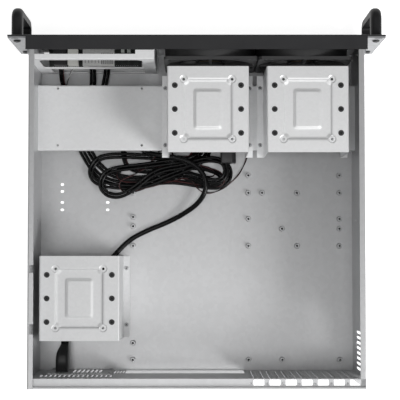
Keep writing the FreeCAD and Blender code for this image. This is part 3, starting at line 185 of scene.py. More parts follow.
def noise(finish, grains_per_metre, detail, stretch=(1, 1, 1)):
    """Cloudy noise; more detail adds finer and finer grains."""
    place = place_in_metres(finish, stretch)
    inputs = {"Vector": place, "Scale": grains_per_metre, "Detail": detail}
    return add_node(finish, "TexNoise", inputs).outputs["Fac"]


def cells(finish, cells_per_metre, stretch=(1, 1, 1)):
    """Flat patches with straight borders, each with a value of its own."""
    inputs = {"Vector": place_in_metres(finish, stretch), "Scale": cells_per_metre}
    colour = add_node(finish, "TexVoronoi", inputs).outputs["Color"]
    return add_node(finish, "SeparateColor", {"Color": colour}).outputs["Red"]


def tint(finish, pattern, low, high, start=0.3, stop=0.7):
    """Colour that goes from low to high with the pattern."""
    ramp = add_node(finish, "ValToRGB", {"Fac": pattern})
    first, last = ramp.color_ramp.elements
    first.position, first.color = start, (*low, 1)
    last.position, last.color = stop, (*high, 1)
    shade(finish, Base_Color=ramp.outputs["Color"])


def vary_rough(finish, pattern, rough, swing):
    """Roughness that the pattern moves up and down by the swing."""
    inputs = {"Value": pattern, "To Min": rough - swing, "To Max": rough + swing}
    shade(finish, Roughness=add_node(finish, "MapRange", inputs).outputs["Result"])


def relief(finish, *layers):
    """Raise patterns one on the other; a layer is a pattern, a strength and a height in metres."""
    below = {}
    for pattern, strength, height in layers:
        inputs = {"Height": pattern, "Strength": strength, "Distance": height, **below}
        below = {"Normal": add_node(finish, "Bump", inputs).outputs["Normal"]}
    shade(finish, **below)


# %% [markdown]
# ## Pressed shapes in a finish
# A press leaves soft shoulders beside its marks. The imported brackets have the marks
# themselves, and the slot covers their gaps. These patterns round the shoulders off: each is
# worked out from how far a place on the piece is from the mark's edge.

# %% Pressed shapes
def calc(finish, kind, *values):
    """One step of arithmetic; each value is a number or another step's result."""
    node = add_node(finish, "Math", {})
    node.operation = kind
    return set_inputs(finish, node, dict(enumerate(values))).outputs["Value"]


def away_from(finish, value, middle):
    """How far a value is from the middle, either way."""
    return calc(finish, "ABSOLUTE", calc(finish, "SUBTRACT", value, middle))


def soft_step(finish, value, low, high, start, stop):
    """Go smoothly from start to stop while the value goes from low to high."""
    node = add_node(finish, "MapRange", {})
    node.interpolation_type = "SMOOTHSTEP"
    inputs = {"Value": value, "From Min": low, "From Max": high, "To Min": start, "To Max": stop}
    return set_inputs(finish, node, inputs).outputs["Result"]


def own_axes(finish):
    """The piece's own X, Y and Z in metres, each by itself."""
    return add_node(finish, "SeparateXYZ", {"Vector": place_in_metres(finish)}).outputs


SEAT_SPACING = (0.0617, 0.0766)
SEAT_RADIUS = 0.0054
ISLAND_HALF = (0.0155, 0.0230)
ISLAND_CORNER = 0.005
FIELD_SHOULDER = (-0.0036, 0.0022)  # a shoulder starts inside the edge and ends outside it
ISLAND_SHOULDER = (-0.0014, 0.0030)


def pressed_top(finish, x, y):
    """The sunken field of a bracket's top, a screw seat at each corner and a raised island."""
    axes = own_axes(finish)
    across = away_from(finish, axes["X"], x)
    along = away_from(finish, axes["Y"], y)
    from_x = calc(finish, "SUBTRACT", across, SEAT_SPACING[0] / 2)
    from_y = calc(finish, "SUBTRACT", along, SEAT_SPACING[1] / 2)
    squares = calc(finish, "ADD", calc(finish, "MULTIPLY", from_x, from_x),
                   calc(finish, "MULTIPLY", from_y, from_y))
    edge = calc(finish, "MAXIMUM", from_x, from_y)
    seat = calc(finish, "SUBTRACT", SEAT_RADIUS, calc(finish, "SQRT", squares))
    field = calc(finish, "MAXIMUM", edge, seat)
    island = calc(finish, "SMOOTH_MAX", calc(finish, "SUBTRACT", across, ISLAND_HALF[0]),
                  calc(finish, "SUBTRACT", along, ISLAND_HALF[1]), ISLAND_CORNER)
    return calc(finish, "ADD", soft_step(finish, field, *FIELD_SHOULDER, 0, 1),
                soft_step(finish, island, *ISLAND_SHOULDER, 1, 0))


CARD_PITCH = 0.02032
FIRST_COVER, MIDDLE_COVER = -0.0788, -0.13976
RIM_PLACE, RIM_HALF_WIDTH = 0.0046, 0.0012
MIDDLE_HEIGHT, RIM_ENDS = 0.065, (0.049, 0.052)
ROW_ENDS = (0.0675, 0.0685)


def cover_rims(finish):
    """A rounded rim along both long edges of the seven slot covers in the rear wall."""
    axes = own_axes(finish)
    from_first = calc(finish, "SUBTRACT", axes["X"], FIRST_COVER)
    half = CARD_PITCH / 2
    from_cover = calc(finish, "ABSOLUTE", calc(finish, "WRAP", from_first, half, -half))
    rim = soft_step(finish, away_from(finish, from_cover, RIM_PLACE), 0.0, RIM_HALF_WIDTH, 1, 0)
    height = soft_step(finish, away_from(finish, axes["Z"], MIDDLE_HEIGHT), *RIM_ENDS, 1, 0)
    width = soft_step(finish, away_from(finish, axes["X"], MIDDLE_COVER), *ROW_ENDS, 1, 0)
    return calc(finish, "MULTIPLY", rim, calc(finish, "MULTIPLY", height, width))


# %% [markdown]
# ## Steel finishes
# The tray, the rear wall and the shelf are zinc-coated steel. The zinc sets in small faint
# crystals, and the rolling mill leaves fine lines along the sheet. The rear wall's steel is a
# little lighter than the tray's: painted light, where the lamps hardly reach it. The brackets and
# the control bracket are cut from a brighter plated sheet, and the ears are a duller grey. The
# control bracket's grey is lighter still, partly its own tone and partly a painted highlight for
# light from the front. The third bracket is darker than the other two, as painted shade over the
# overhead lamp's highlight. All of them are one recipe with other numbers, so that they look
# like kinds of the same metal.

# %% Steel finishes
ROLLED_LENGTHWISE = (900, 9, 900)
ROLLED_CROSSWISE = (9, 1100, 900)
PRESS_DEPTH = 0.0012
BRACKETS = {"1": (-14.5, -129.8), "2": (-141.7, -129.8), "3": (151.9, 112)}  # middles, in mm


def steel(name, low, high, rough, lines, crystals=190, metal=0.55, raised=None):
    """Sheet steel between two greys, with mill lines, and a pressed shape if one is given."""
    finish = new_finish(name, metal=metal, rough=rough)
    tint(finish, cells(finish, crystals), low, high, 0.0, 1.0)
    rolled = noise(finish, 1.0, 4.0, lines)
    vary_rough(finish, noise(finish, 14, 3.0), rough, 0.02)
    fine = noise(finish, 1600, 2.0)
    layers = [(rolled, 0.06, 0.00004), (fine, 0.10, 0.00003)]
    if raised is not None:
        layers.append((raised(finish), 1.0, PRESS_DEPTH))
    relief(finish, *layers)
    return finish


def bracket_steel(number, low, high, rough, metal):
    """The steel of one bracket; its pressed shape has to know where the bracket stands."""
    x, y = BRACKETS[number]
    return steel("bracket_zinc_" + number, low, high, rough, ROLLED_CROSSWISE, 320, metal,
                 raised=lambda finish: pressed_top(finish, x / 1000, y / 1000))


galvanised = steel(
    "galvanised_steel", (0.545, 0.548, 0.555), (0.575, 0.578, 0.585), 0.38, ROLLED_LENGTHWISE)
# Lighter than the tray's steel: painted light on the rear wall, which the lamps hardly reach.
lit_rear_zinc = steel(
    "lit_rear_steel", (0.60, 0.603, 0.61), (0.63, 0.633, 0.64), 0.42, ROLLED_LENGTHWISE, raised=cover_rims)
bright_zinc = steel(
    "bright_zinc", (0.90, 0.905, 0.91), (0.93, 0.935, 0.94), 0.54, ROLLED_CROSSWISE, 320, 0.45)
# Lighter than the other plated steel: partly the control bracket's own tone, partly a painted highlight
# for light from the front.
white_zinc_and_painted_light = steel(
    "white_zinc_and_painted_light", (0.94, 0.945, 0.95), (0.97, 0.975, 0.98), 0.60, ROLLED_CROSSWISE, 320, 0.35)
bracket_zinc = {
    number: bracket_steel(number, (0.93, 0.935, 0.94), (0.96, 0.965, 0.97), 0.46, 0.55)
    for number in "12"}
# The third bracket is a darker grey than the other two: painted shade that tones down the overhead
# lamp's highlight on it.
bracket_zinc["3"] = bracket_steel("3", (0.80, 0.805, 0.81), (0.83, 0.835, 0.84), 0.58, 0.35)
grey_steel = steel("grey_steel", (0.35, 0.355, 0.365), (0.40, 0.405, 0.415), 0.48, (700, 700, 9), 260)
zinc_screw = steel("zinc_screws", (0.48, 0.49, 0.50), (0.60, 0.60, 0.61), 0.30, (2000, 2000, 2000), 900)
port_metal = steel("port_metal", (0.60, 0.60, 0.59), (0.68, 0.68, 0.67), 0.28, (1500, 9, 9), 900)
motor_metal = steel("motor_core", (0.30, 0.22, 0.12), (0.42, 0.30, 0.17), 0.40, (9, 2500, 9), 900)
print("steel finishes:", galvanised.name, bright_zinc.name, grey_steel.name)

# %% [markdown]
# ## Black paint, plastic and rubber
# Powder paint melts into a very fine orange-peel skin. Moulded plastic is smoother and shows a
# soft grain. Rubber is duller still. The leads have a glossy vinyl sheath with slow dents. They
# all share one recipe: two close colours and one grain.

# %% Paint, plastic and rubber
def moulded(name, low, high, rough, grain, height, strength=0.35, **sockets):
    """A skin between two colours, with so many grains to a metre raised by the height."""
    finish = new_finish(name, rough=rough, **sockets)
    tint(finish, noise(finish, 30, 4.0), low, high)
    fine = noise(finish, grain, 2.0)
    vary_rough(finish, noise(finish, 60, 3.0), rough, 0.05)
    relief(finish, (fine, strength, height))
    return finish


powder_coat = moulded(
    "black_powder_coat", (0.018, 0.018, 0.020), (0.024, 0.024, 0.026), 0.52, 1500, 0.00010)
handle_paint = moulded(
    "black_handle", (0.010, 0.010, 0.011), (0.016, 0.016, 0.017), 0.50, 1100, 0.00004,
    Specular_IOR_Level=0.35)
black_screw_and_recess_shade = moulded("black_screws", (0.020, 0.020, 0.021), (0.035, 0.035, 0.036), 0.35, 900, 0.00003)
fan_plastic = moulded(
    "black_fan_plastic", (0.036, 0.036, 0.037), (0.048, 0.048, 0.049), 0.48, 1400, 0.00006)
black_plastic = moulded(
    "black_plastic", (0.011, 0.011, 0.012), (0.019, 0.019, 0.020), 0.38, 1800, 0.00005)
light_plastic = moulded("light_plastic", (0.52, 0.52, 0.49), (0.60, 0.60, 0.57), 0.42, 1500, 0.00003)
button_plastic = moulded(
    "button_plastic", (0.030, 0.030, 0.032), (0.045, 0.045, 0.047), 0.30, 1500, 0.00002)
port_plastic = moulded("port_plastic", (0.020, 0.020, 0.022), (0.030, 0.030, 0.032), 0.40, 1500, 0.00002)
rubber = moulded("black_rubber", (0.022, 0.022, 0.023), (0.040, 0.040, 0.041), 0.62, 1200, 0.00008)
sheath = moulded(
    "black_cord", (0.0015, 0.0015, 0.0017), (0.0035, 0.0035, 0.0037), 0.27, 350, 0.00010, 0.2,
    Specular_IOR_Level=0.22)
red_sheath = moulded("red_wire", (0.040, 0.004, 0.005), (0.060, 0.006, 0.007), 0.36, 500, 0.00006, 0.25)
white_sheath = moulded("white_wire", (0.62, 0.62, 0.60), (0.72, 0.72, 0.70), 0.36, 500, 0.00006, 0.25)
lens = moulded("clear_lens", (0.62, 0.66, 0.62), (0.72, 0.76, 0.72), 0.12, 900, 0.00002, 0.1)
print("finishes so far:", len(bpy.data.materials))

# %% [markdown]
# ## Circuit board
# The small board behind the front controls is glass fibre under a black lacquer. Its copper
# tracks stand a little proud, and show as slightly paler patches.

# %% Circuit board finish
board_black = new_finish("circuit_board", rough=0.34)
tracks = cells(board_black, 420, (1, 0.25, 1))
tint(board_black, tracks, (0.006, 0.008, 0.007), (0.016, 0.020, 0.018), 0.35, 0.65)
relief(board_black, (tracks, 0.2, 0.00004))
print("board finish:", board_black.name)

# %% [markdown]
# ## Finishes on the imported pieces
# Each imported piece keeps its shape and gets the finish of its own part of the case. The plugs
# are not on the list and get the finish of the leads, and so do the pieces that finer ones
# stand in for further down.

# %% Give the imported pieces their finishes
FINISHES = {
    "base_tray": galvanised, "front_frame": galvanised, "inlet_plate": galvanised,
    "rear_panel": lit_rear_zinc, "drive_shelf": bright_zinc, "io_bracket": white_zinc_and_painted_light,
    "ear_left": grey_steel, "ear_right": grey_steel, "front_panel": powder_coat,
    "handle_left": handle_paint, "handle_right": handle_paint,
    "io_board": board_black, "usb_shell": port_metal, "usb_tongues": port_plastic,
    "power_switch": black_plastic, "reset_switch": light_plastic,
    "power_button": button_plastic, "reset_button": button_plastic,
    "indicator_lights": lens, "lead_sockets": light_plastic, "ac_inlet_pins": port_metal,
}
for letter in "ab":
    FINISHES[f"fan_{letter}_frame"] = fan_plastic
    FINISHES[f"fan_{letter}_rotor"] = fan_plastic
    FINISHES[f"fan_{letter}_stator"] = motor_metal
for number in BRACKETS:
    FINISHES["drive_bracket_" + number] = bracket_zinc[number]
    FINISHES["grommets_" + number] = rubber
for name, piece in nodes.items():
    finish = FINISHES.get(name, sheath)
    if piece.material_slots:
        for place in piece.material_slots:
            place.material = finish
    else:
        piece.data.materials.append(finish)
print("finished", len(nodes), "packed pieces")

# %% [markdown]
# ## The mains lead's route
# A lead is a fixed length of something bendy, so each is one smooth line drawn through a few
# listed points. The mains lead comes out of the inlet at the back, lies across the floor,
# and ends under the shelf at the connector for the power supply.

# %% The mains lead's route
MAINS_LEAD = [
    (0.1765, 0.1741, 0.0300), (0.1765, 0.1555, 0.0300), (0.1720, 0.1360, 0.0235),
    (0.1605, 0.1165, 0.0135), (0.1455, 0.0960, 0.0065), (0.1280, 0.0745, 0.0049),
    (0.1105, 0.0540, 0.0049), (0.0915, 0.0345, 0.0049), (0.0660, 0.0215, 0.0049),
    (0.0400, 0.0115, 0.0055), (0.0170, -0.0005, 0.0100), (-0.0035, -0.0150, 0.0170),
    (-0.0135, -0.0330, 0.0225), (-0.0110, -0.0525, 0.0245), (0.0025, -0.0670, 0.0250),
    (0.0210, -0.0745, 0.0250), (0.0450, -0.0785, 0.0250), (0.0680, -0.0825, 0.0230),
    (0.0870, -0.0980, 0.0155), (0.0970, -0.1200, 0.0095), (0.0956, -0.1424, 0.0075),
    (0.0830, -0.1604, 0.0095), (0.0630, -0.1690, 0.0140), (0.0400, -0.1690, 0.0140),
    (0.0180, -0.1680, 0.0090), (-0.0035, -0.1650, 0.0055), (-0.0240, -0.1560, 0.0060),
    (-0.0385, -0.1385, 0.0105), (-0.0430, -0.1195, 0.0150), (-0.0430, -0.1030, 0.0150),
]
print("mains route:", len(MAINS_LEAD), "points")

# %% [markdown]
# ## The port leads' routes
# Two leads drop from the sockets behind the twin port, run under the shelf, and spend their
# spare length in one flat loose hank behind it.

# %% The port leads' routes
USB_LEAD_A = [
    (0.1420, -0.2080, 0.0440), (0.1420, -0.2075, 0.0300), (0.1420, -0.2000, 0.0175),
    (0.1420, -0.1855, 0.0100), (0.1430, -0.1690, 0.0060), (0.1460, -0.1510, 0.0039),
    (0.1515, -0.1330, 0.0038), (0.1570, -0.1160, 0.0038), (0.1600, -0.1010, 0.0038),
    (0.1580, -0.0885, 0.0040), (0.1509, -0.0759, 0.0038), (0.1426, -0.0615, 0.0038),
    (0.1315, -0.0500, 0.0038), (0.1130, -0.0430, 0.0038), (0.0900, -0.0410, 0.0038),
    (0.0620, -0.0440, 0.0038), (0.0340, -0.0455, 0.0038), (0.0080, -0.0420, 0.0038),
    (-0.0140, -0.0380, 0.0038), (-0.0310, -0.0380, 0.0038), (-0.0435, -0.0460, 0.0038),
    (-0.0465, -0.0585, 0.0038), (-0.0410, -0.0700, 0.0038), (-0.0280, -0.0750, 0.0038),
    (-0.0060, -0.0750, 0.0038), (0.0200, -0.0760, 0.0042), (0.0480, -0.0785, 0.0056),
    (0.0760, -0.0795, 0.0080), (0.0980, -0.0800, 0.0098), (0.1140, -0.0795, 0.0100),
    (0.1315, -0.0775, 0.0100), (0.1428, -0.0680, 0.0098), (0.1455, -0.0552, 0.0094),
    (0.1386, -0.0444, 0.0092), (0.1225, -0.0400, 0.0090), (0.1030, -0.0375, 0.0088),
    (0.0840, -0.0360, 0.0088), (0.0640, -0.0410, 0.0102), (0.0440, -0.0500, 0.0114),
    (0.0240, -0.0580, 0.0112), (0.0040, -0.0650, 0.0100), (-0.0090, -0.0740, 0.0096),
    (-0.0150, -0.0805, 0.0070), (-0.0160, -0.0880, 0.0045),
]
USB_LEAD_B = [
    (0.1200, -0.2080, 0.0440), (0.1205, -0.2075, 0.0300), (0.1220, -0.2000, 0.0175),
    (0.1245, -0.1855, 0.0100), (0.1280, -0.1690, 0.0060), (0.1330, -0.1515, 0.0039),
    (0.1400, -0.1350, 0.0038), (0.1470, -0.1200, 0.0038), (0.1515, -0.1070, 0.0038),
    (0.1495, -0.0940, 0.0040), (0.1428, -0.0809, 0.0042), (0.1345, -0.0685, 0.0040),
    (0.1235, -0.0575, 0.0038), (0.1060, -0.0510, 0.0038), (0.0840, -0.0485, 0.0038),
    (0.0560, -0.0520, 0.0038), (0.0300, -0.0555, 0.0044), (0.0080, -0.0540, 0.0085),
    (-0.0100, -0.0480, 0.0118), (-0.0245, -0.0440, 0.0122), (-0.0370, -0.0490, 0.0122),
    (-0.0415, -0.0605, 0.0122), (-0.0365, -0.0715, 0.0126), (-0.0240, -0.0755, 0.0134),
    (-0.0060, -0.0725, 0.0142), (0.0100, -0.0680, 0.0144), (0.0240, -0.0645, 0.0144),
    (0.0430, -0.0620, 0.0144), (0.0625, -0.0535, 0.0144), (0.0790, -0.0390, 0.0138),
    (0.0940, -0.0290, 0.0134), (0.1080, -0.0245, 0.0120), (0.1215, -0.0270, 0.0114),
    (0.1303, -0.0365, 0.0126), (0.1303, -0.0495, 0.0142), (0.1210, -0.0585, 0.0146),
    (0.1040, -0.0620, 0.0142), (0.0800, -0.0645, 0.0142), (0.0520, -0.0690, 0.0142),
    (0.0260, -0.0725, 0.0138), (0.0090, -0.0745, 0.0110), (-0.0020, -0.0790, 0.0080),
    (-0.0065, -0.0880, 0.0045),
]
print("port leads:", len(USB_LEAD_A), "and", len(USB_LEAD_B), "points")

# %% [markdown]
# ## The panel lead's route
# The buttons and lights share one lead of thin wires, which lies in the same hank.

# %% The panel lead's route
PANEL_LEAD = [
    (0.1840, -0.2080, 0.0440), (0.1840, -0.2070, 0.0340), (0.1840, -0.2010, 0.0245),
    (0.1840, -0.1905, 0.0175), (0.1830, -0.1770, 0.0115), (0.1790, -0.1630, 0.0080),
    (0.1700, -0.1485, 0.0085), (0.1565, -0.1345, 0.0110), (0.1370, -0.1210, 0.0110),
    (0.1190, -0.1105, 0.0055), (0.1060, -0.1000, 0.0032), (0.0995, -0.0880, 0.0034),
    (0.0990, -0.0760, 0.0032), (0.0955, -0.0660, 0.0030), (0.0840, -0.0590, 0.0030),
    (0.0640, -0.0590, 0.0030), (0.0400, -0.0630, 0.0030), (0.0140, -0.0650, 0.0030),
    (-0.0080, -0.0625, 0.0032), (-0.0270, -0.0580, 0.0040), (-0.0370, -0.0495, 0.0072),
    (-0.0345, -0.0405, 0.0080), (-0.0240, -0.0375, 0.0080), (-0.0120, -0.0410, 0.0080),
    (-0.0000, -0.0445, 0.0080), (0.0160, -0.0465, 0.0080), (0.0400, -0.0470, 0.0080),
    (0.0640, -0.0470, 0.0080), (0.0860, -0.0460, 0.0080), (0.1020, -0.0465, 0.0082),
    (0.1075, -0.0515, 0.0082), (0.1075, -0.0585, 0.0084), (0.1020, -0.0635, 0.0086),
    (0.0840, -0.0645, 0.0088), (0.0600, -0.0670, 0.0088), (0.0340, -0.0722, 0.0104),
    (0.0150, -0.0750, 0.0102), (0.0050, -0.0805, 0.0078), (0.0030, -0.0880, 0.0045),
]
print("panel lead:", len(PANEL_LEAD), "points")

# %% [markdown]
# ## The fan leads' routes
# Each fan has a thin lead that leaves the lower edge of its frame. Both reach the hank, one in
# an arc beside the first bracket and the other between the first two brackets.

# %% The fan leads' routes
FAN_LEAD_A = [
    (0.0360, -0.1940, 0.0090), (0.0370, -0.1875, 0.0080), (0.0410, -0.1785, 0.0045),
    (0.0460, -0.1680, 0.0026), (0.0495, -0.1550, 0.0026), (0.0505, -0.1390, 0.0026),
    (0.0480, -0.1220, 0.0026), (0.0420, -0.1080, 0.0026), (0.0360, -0.0975, 0.0032),
    (0.0340, -0.0880, 0.0048), (0.0325, -0.0800, 0.0084), (0.0260, -0.0735, 0.0086),
    (0.0130, -0.0705, 0.0072), (-0.0020, -0.0680, 0.0060), (-0.0150, -0.0645, 0.0060),
    (-0.0245, -0.0600, 0.0066), (-0.0250, -0.0530, 0.0070), (-0.0170, -0.0505, 0.0072),
    (-0.0040, -0.0540, 0.0072), (0.0120, -0.0590, 0.0072), (0.0300, -0.0650, 0.0068),
    (0.0405, -0.0695, 0.0068), (0.0450, -0.0775, 0.0092), (0.0438, -0.0840, 0.0070),
    (0.0430, -0.0880, 0.0045),
]
FAN_LEAD_B = [
    (-0.0920, -0.1940, 0.0090), (-0.0920, -0.1875, 0.0082), (-0.0900, -0.1770, 0.0045),
    (-0.0865, -0.1630, 0.0026), (-0.0825, -0.1450, 0.0026), (-0.0790, -0.1250, 0.0026),
    (-0.0750, -0.1040, 0.0026), (-0.0705, -0.0830, 0.0026), (-0.0645, -0.0650, 0.0026),
    (-0.0535, -0.0485, 0.0026), (-0.0370, -0.0355, 0.0026), (-0.0200, -0.0285, 0.0026),
    (-0.0070, -0.0300, 0.0028), (0.0010, -0.0380, 0.0076), (0.0080, -0.0475, 0.0116),
    (0.0190, -0.0500, 0.0118), (0.0340, -0.0440, 0.0098), (0.0500, -0.0410, 0.0074),
    (0.0670, -0.0365, 0.0068), (0.0840, -0.0310, 0.0054), (0.0980, -0.0295, 0.0080),
    (0.1060, -0.0365, 0.0120), (0.1040, -0.0460, 0.0126), (0.0920, -0.0515, 0.0118),
    (0.0780, -0.0570, 0.0112), (0.0660, -0.0650, 0.0110), (0.0605, -0.0735, 0.0106),
    (0.0555, -0.0805, 0.0096), (0.0520, -0.0850, 0.0072), (0.0515, -0.0880, 0.0045),
]
print("fan leads:", len(FAN_LEAD_A), "and", len(FAN_LEAD_B), "points")

# %% [markdown]
# ## Drawing a line
# A lead could be a row of short tubes, but then every bend would show corners. Blender's NURBS
# line with an order of three stays close to its points and has none. A round bevel makes it a
# lead, and its places can be read back, for whatever has to run beside it.

# %% Draw a line and read it back
def add_piece(name, data, *finishes):
    piece = bpy.data.objects.new(name, data)
    bpy.context.scene.collection.objects.link(piece)
    for finish in finishes:
        data.materials.append(finish)
    return piece


def soft_line(name, points, thickness, *finishes):
    """A smooth line near the points, as a round cord or, with no thickness, as a bare line."""
    line = bpy.data.curves.new(name, "CURVE")
    line.dimensions = "3D"
    line.resolution_u = 8
    spline = line.splines.new("NURBS")
    spline.points.add(len(points) - 1)
    for point, place in zip(spline.points, points):
        point.co = (*place, 1)
    spline.order_u = 3
    spline.use_endpoint_u = True
    if thickness:
        line.bevel_depth = thickness / 2
        line.bevel_resolution = 5
        line.use_fill_caps = True
    return add_piece(name, line, *finishes)


def read_line(points):
    """The places along the smooth line that these points make."""
    bare = soft_line("line_to_read", points, 0)
    mesh = bpy.data.meshes.new_from_object(bare)
    places = [vertex.co.copy() for vertex in mesh.vertices]
    bpy.data.objects.remove(bare)
    bpy.data.meshes.remove(mesh)
    return places


def reaches(places):
    """How far along the line each place is; the last number is the line's length."""
    along = [0.0]
    for a, b in zip(places, places[1:]):
        along.append(along[-1] + (b - a).length)
    return along


mains_line = read_line(MAINS_LEAD)
print("mains lead:", round(reaches(mains_line)[-1], 3), "m")

# %% [markdown]
# ## Solids from rings
# Round and moulded pieces are built as a row of rings, each joined to the next with faces.
# This makes one closed skin, whatever the rings' shape. A tube's rings stand across its line.
# Each takes over the direction of the one before, so that the tube never twists.

# %% Solids from rings
def skin(mesh, rings, colour=0, smooth=True):
    """Join each ring of corners to the next with faces, and close the two ends."""
    for first, second in zip(rings, rings[1:]):
        for step in range(len(first)):
            nxt = (step + 1) % len(first)
            face = mesh.faces.new((first[step], first[nxt], second[nxt], second[step]))
            face.material_index = colour
            face.smooth = smooth
    for ring in (rings[0], rings[-1]):
        mesh.faces.new(ring).material_index = colour


def ring_of(mesh, corners):
    return [mesh.verts.new(corner) for corner in corners]


def round_turns(sides):
    """The angles of a round ring's corners."""
    return [2 * math.pi * step / sides for step in range(sides)]


def as_piece(name, mesh, *finishes):
    """Turn a drawn mesh into a piece, with its faces looking outwards."""
    bmesh.ops.recalc_face_normals(mesh, faces=mesh.faces[:])
    data = bpy.data.meshes.new(name)
    mesh.to_mesh(data)
    mesh.free()
    return add_piece(name, data, *finishes)


def ahead_at(places, index):
    """Where a line is going at one of its places."""
    after = places[min(index + 1, len(places) - 1)]
    before = places[max(index - 1, 0)]
    return Vector(after) - Vector(before)


def frames_along(places):
    """For each place, two directions across the line that turn with it and never flip."""
    side = Vector((0, 0, 1))
    frames = []
    for index, place in enumerate(places):
        ahead = ahead_at(places, index).normalized()
        side = (side - ahead * side.dot(ahead)).normalized()
        frames.append((place, side, ahead.cross(side)))
    return frames


def sweep(mesh, frames, radii, angles, sides, offset=0.0, colour=0):
    """Add a round tube that runs beside the line, at its own angle and distance."""
    rings = []
    for (place, side, across), radius, angle in zip(frames, radii, angles):
        middle = place + (side * math.cos(angle) + across * math.sin(angle)) * offset
        rings.append(ring_of(mesh, [
            middle + (side * math.cos(turn) + across * math.sin(turn)) * radius
            for turn in round_turns(sides)]))
    skin(mesh, rings, colour)


print("the mains lead has", len(frames_along(mains_line)), "places for a ring")

# %% [markdown]
# ## Fitting a piece to the case
# Whatever is drawn here moves with the case, and a finer piece may stand in for packed ones,
# which are then hidden. One helper does this for every piece.

# %% Fit a piece to the case
def fit_to_case(piece, slot_name, *stands_for):
    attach(piece, CASE)
    if stands_for:
        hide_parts(*stands_for)


print("pieces will move with", CASE)

# %% [markdown]
# ## Strain reliefs
# Where the mains lead leaves the inlet and where it enters its connector, a ribbed sleeve keeps
# it from kinking. Each sleeve follows the lead's own line, so it bends with it. Its ribs are
# steps in the thickness of one tube.

# %% Strain reliefs
RIB_PITCH, STEPS_PER_RIB, RAISED_STEPS = 0.0024, 6, (1, 2, 3)
RIB_HEIGHT = 0.0004


def even_steps(places, length, step):
    """Places at even steps over the first stretch of a line."""
    spots, here, left, need = [places[0]], places[0], length, step
    for corner in places[1:]:
        while left > 0 and (corner - here).length >= need:
            here = here + (corner - here).normalized() * need
            spots.append(here)
            left, need = left - step, step
        need -= (corner - here).length
        here = corner
    return spots


def sleeve(name, places, length, thick, thin):
    """A ribbed sleeve that thins out along the first stretch of a lead."""
    frames = frames_along(even_steps(places, length, RIB_PITCH / STEPS_PER_RIB))
    last = len(frames) - 1
    radii = []
    for index in range(len(frames)):
        plain = index % STEPS_PER_RIB not in RAISED_STEPS or index >= last - len(RAISED_STEPS)
        radii.append((thick + (thin - thick) * index / last) / 2 + (0 if plain else RIB_HEIGHT))
    mesh = bmesh.new()
    sweep(mesh, frames, radii, [0] * len(frames), sides=24)
    fit_to_case(as_piece(name, mesh, sheath), "black_cord")
    print(name, len(frames), "rings")


sleeve("relief_inlet", mains_line, length=0.026, thick=0.0098, thin=0.0074)
sleeve("relief_connector", mains_line[::-1], length=0.028, thick=0.0090, thin=0.0074)

# %% [markdown]
# ## Laying a cord
# The mains lead and the port leads are thick vinyl cords. Two cords that share a plug lie side
# by side. Both take the same route, each moved sideways by a gap that wanders a little, because
# two routes drawn by hand could cut through each other. A cord's length is printed as it is laid.

# %% Lay a cord
STRAND_SWING, STRAND_WAVES = 0.22, 1.3
LOWEST_STRAND = 0.0031


def beside(points, gap, phase, drop=0.0):
    """The points of a strand that keeps a small, slightly wandering distance from another."""
    moved = []
    for index, place in enumerate(points):
        ahead = ahead_at(points, index)
        ahead.z = 0
        ahead.normalize()
        reach = gap * (1 + STRAND_SWING * math.sin(STRAND_WAVES * index + phase))
        spot = Vector(place) + Vector((-ahead.y, ahead.x, 0)) * reach
        spot.z = max(spot.z - drop, LOWEST_STRAND)
        moved.append(tuple(spot))
    return moved


def lay_cord(name, points, thickness, stands_for):
    lead = soft_line(name, points, thickness, sheath)
    fit_to_case(lead, "black_cord", *stands_for)
    length = round(reaches(read_line(points))[-1], 3)
    print(name, length, "m")


MAINS_THICK, PORT_THICK, PORT_GAP = 0.0068, 0.0041, 0.0023
lay_cord("lead_mains", MAINS_LEAD, MAINS_THICK, ["ac_lead"])
for letter, points in (("a", USB_LEAD_A), ("b", USB_LEAD_B)):
    for number, gap in (("1", PORT_GAP), ("2", -PORT_GAP)):
        strand = beside(points, gap, phase=2000 * gap, drop=0.0004)
        lay_cord(f"lead_port_{letter}_{number}", strand, PORT_THICK,
                 ["usb_lead_" + letter, "cable_hank"])

# %% [markdown]
# ## Laying thin wires
# The panel lead is three thin bundles of wires, and each fan lead is a twisted pair. A bevel
# makes only one wire to a line. So the line is read back as places, and each wire winds beside
# it at an angle that wavers a little, as in a bundle that is twisted by hand. The two wires of
# the reset switch have a start of their own and then join the panel lead.

# %% Lay thin wires
WAVER, WAVES_PER_METRE = 0.5, 38
# how many wires, how far they lie from the line, how thick half a wire is, turns to a metre
PANEL_BUNDLE = (3, 0.00078, 0.00072, 14)
RESET_PAIR = (2, 0.00048, 0.00048, 30)
FAN_PAIR = (2, 0.00055, 0.00055, 22)


def wire_bundle(name, places, bundle, finishes):
    """Thin wires that wind loosely beside one line."""
    wires, spread, radius, turns = bundle
    frames = frames_along(places)
    mesh = bmesh.new()
    chance = random.Random(len(name))
    for wire in range(wires):
        start = 2 * math.pi * wire / wires
        waver = chance.uniform(0, 6.28)
        angles = [start + 2 * math.pi * turns * reach
                  + WAVER * math.sin(WAVES_PER_METRE * reach + waver) for reach in reaches(places)]
        sweep(mesh, frames, [radius] * len(places), angles, 8, spread, wire % len(finishes))
    return as_piece(name, mesh, *finishes)


def lay_wires(name, points, bundle, finishes, stands_for, slot_name):
    places = read_line(points)
    lead = wire_bundle(name, places, bundle, finishes)
    fit_to_case(lead, slot_name, stands_for, "cable_hank")


for number, gap in (("1", 0.0), ("2", 0.0024), ("3", -0.0022)):
    colours = [sheath, red_sheath, sheath] if number == "2" else [sheath]
    lay_wires("lead_panel_" + number, beside(PANEL_LEAD, gap, phase=3000 * gap),
              PANEL_BUNDLE, colours, "panel_lead", "black_cord")

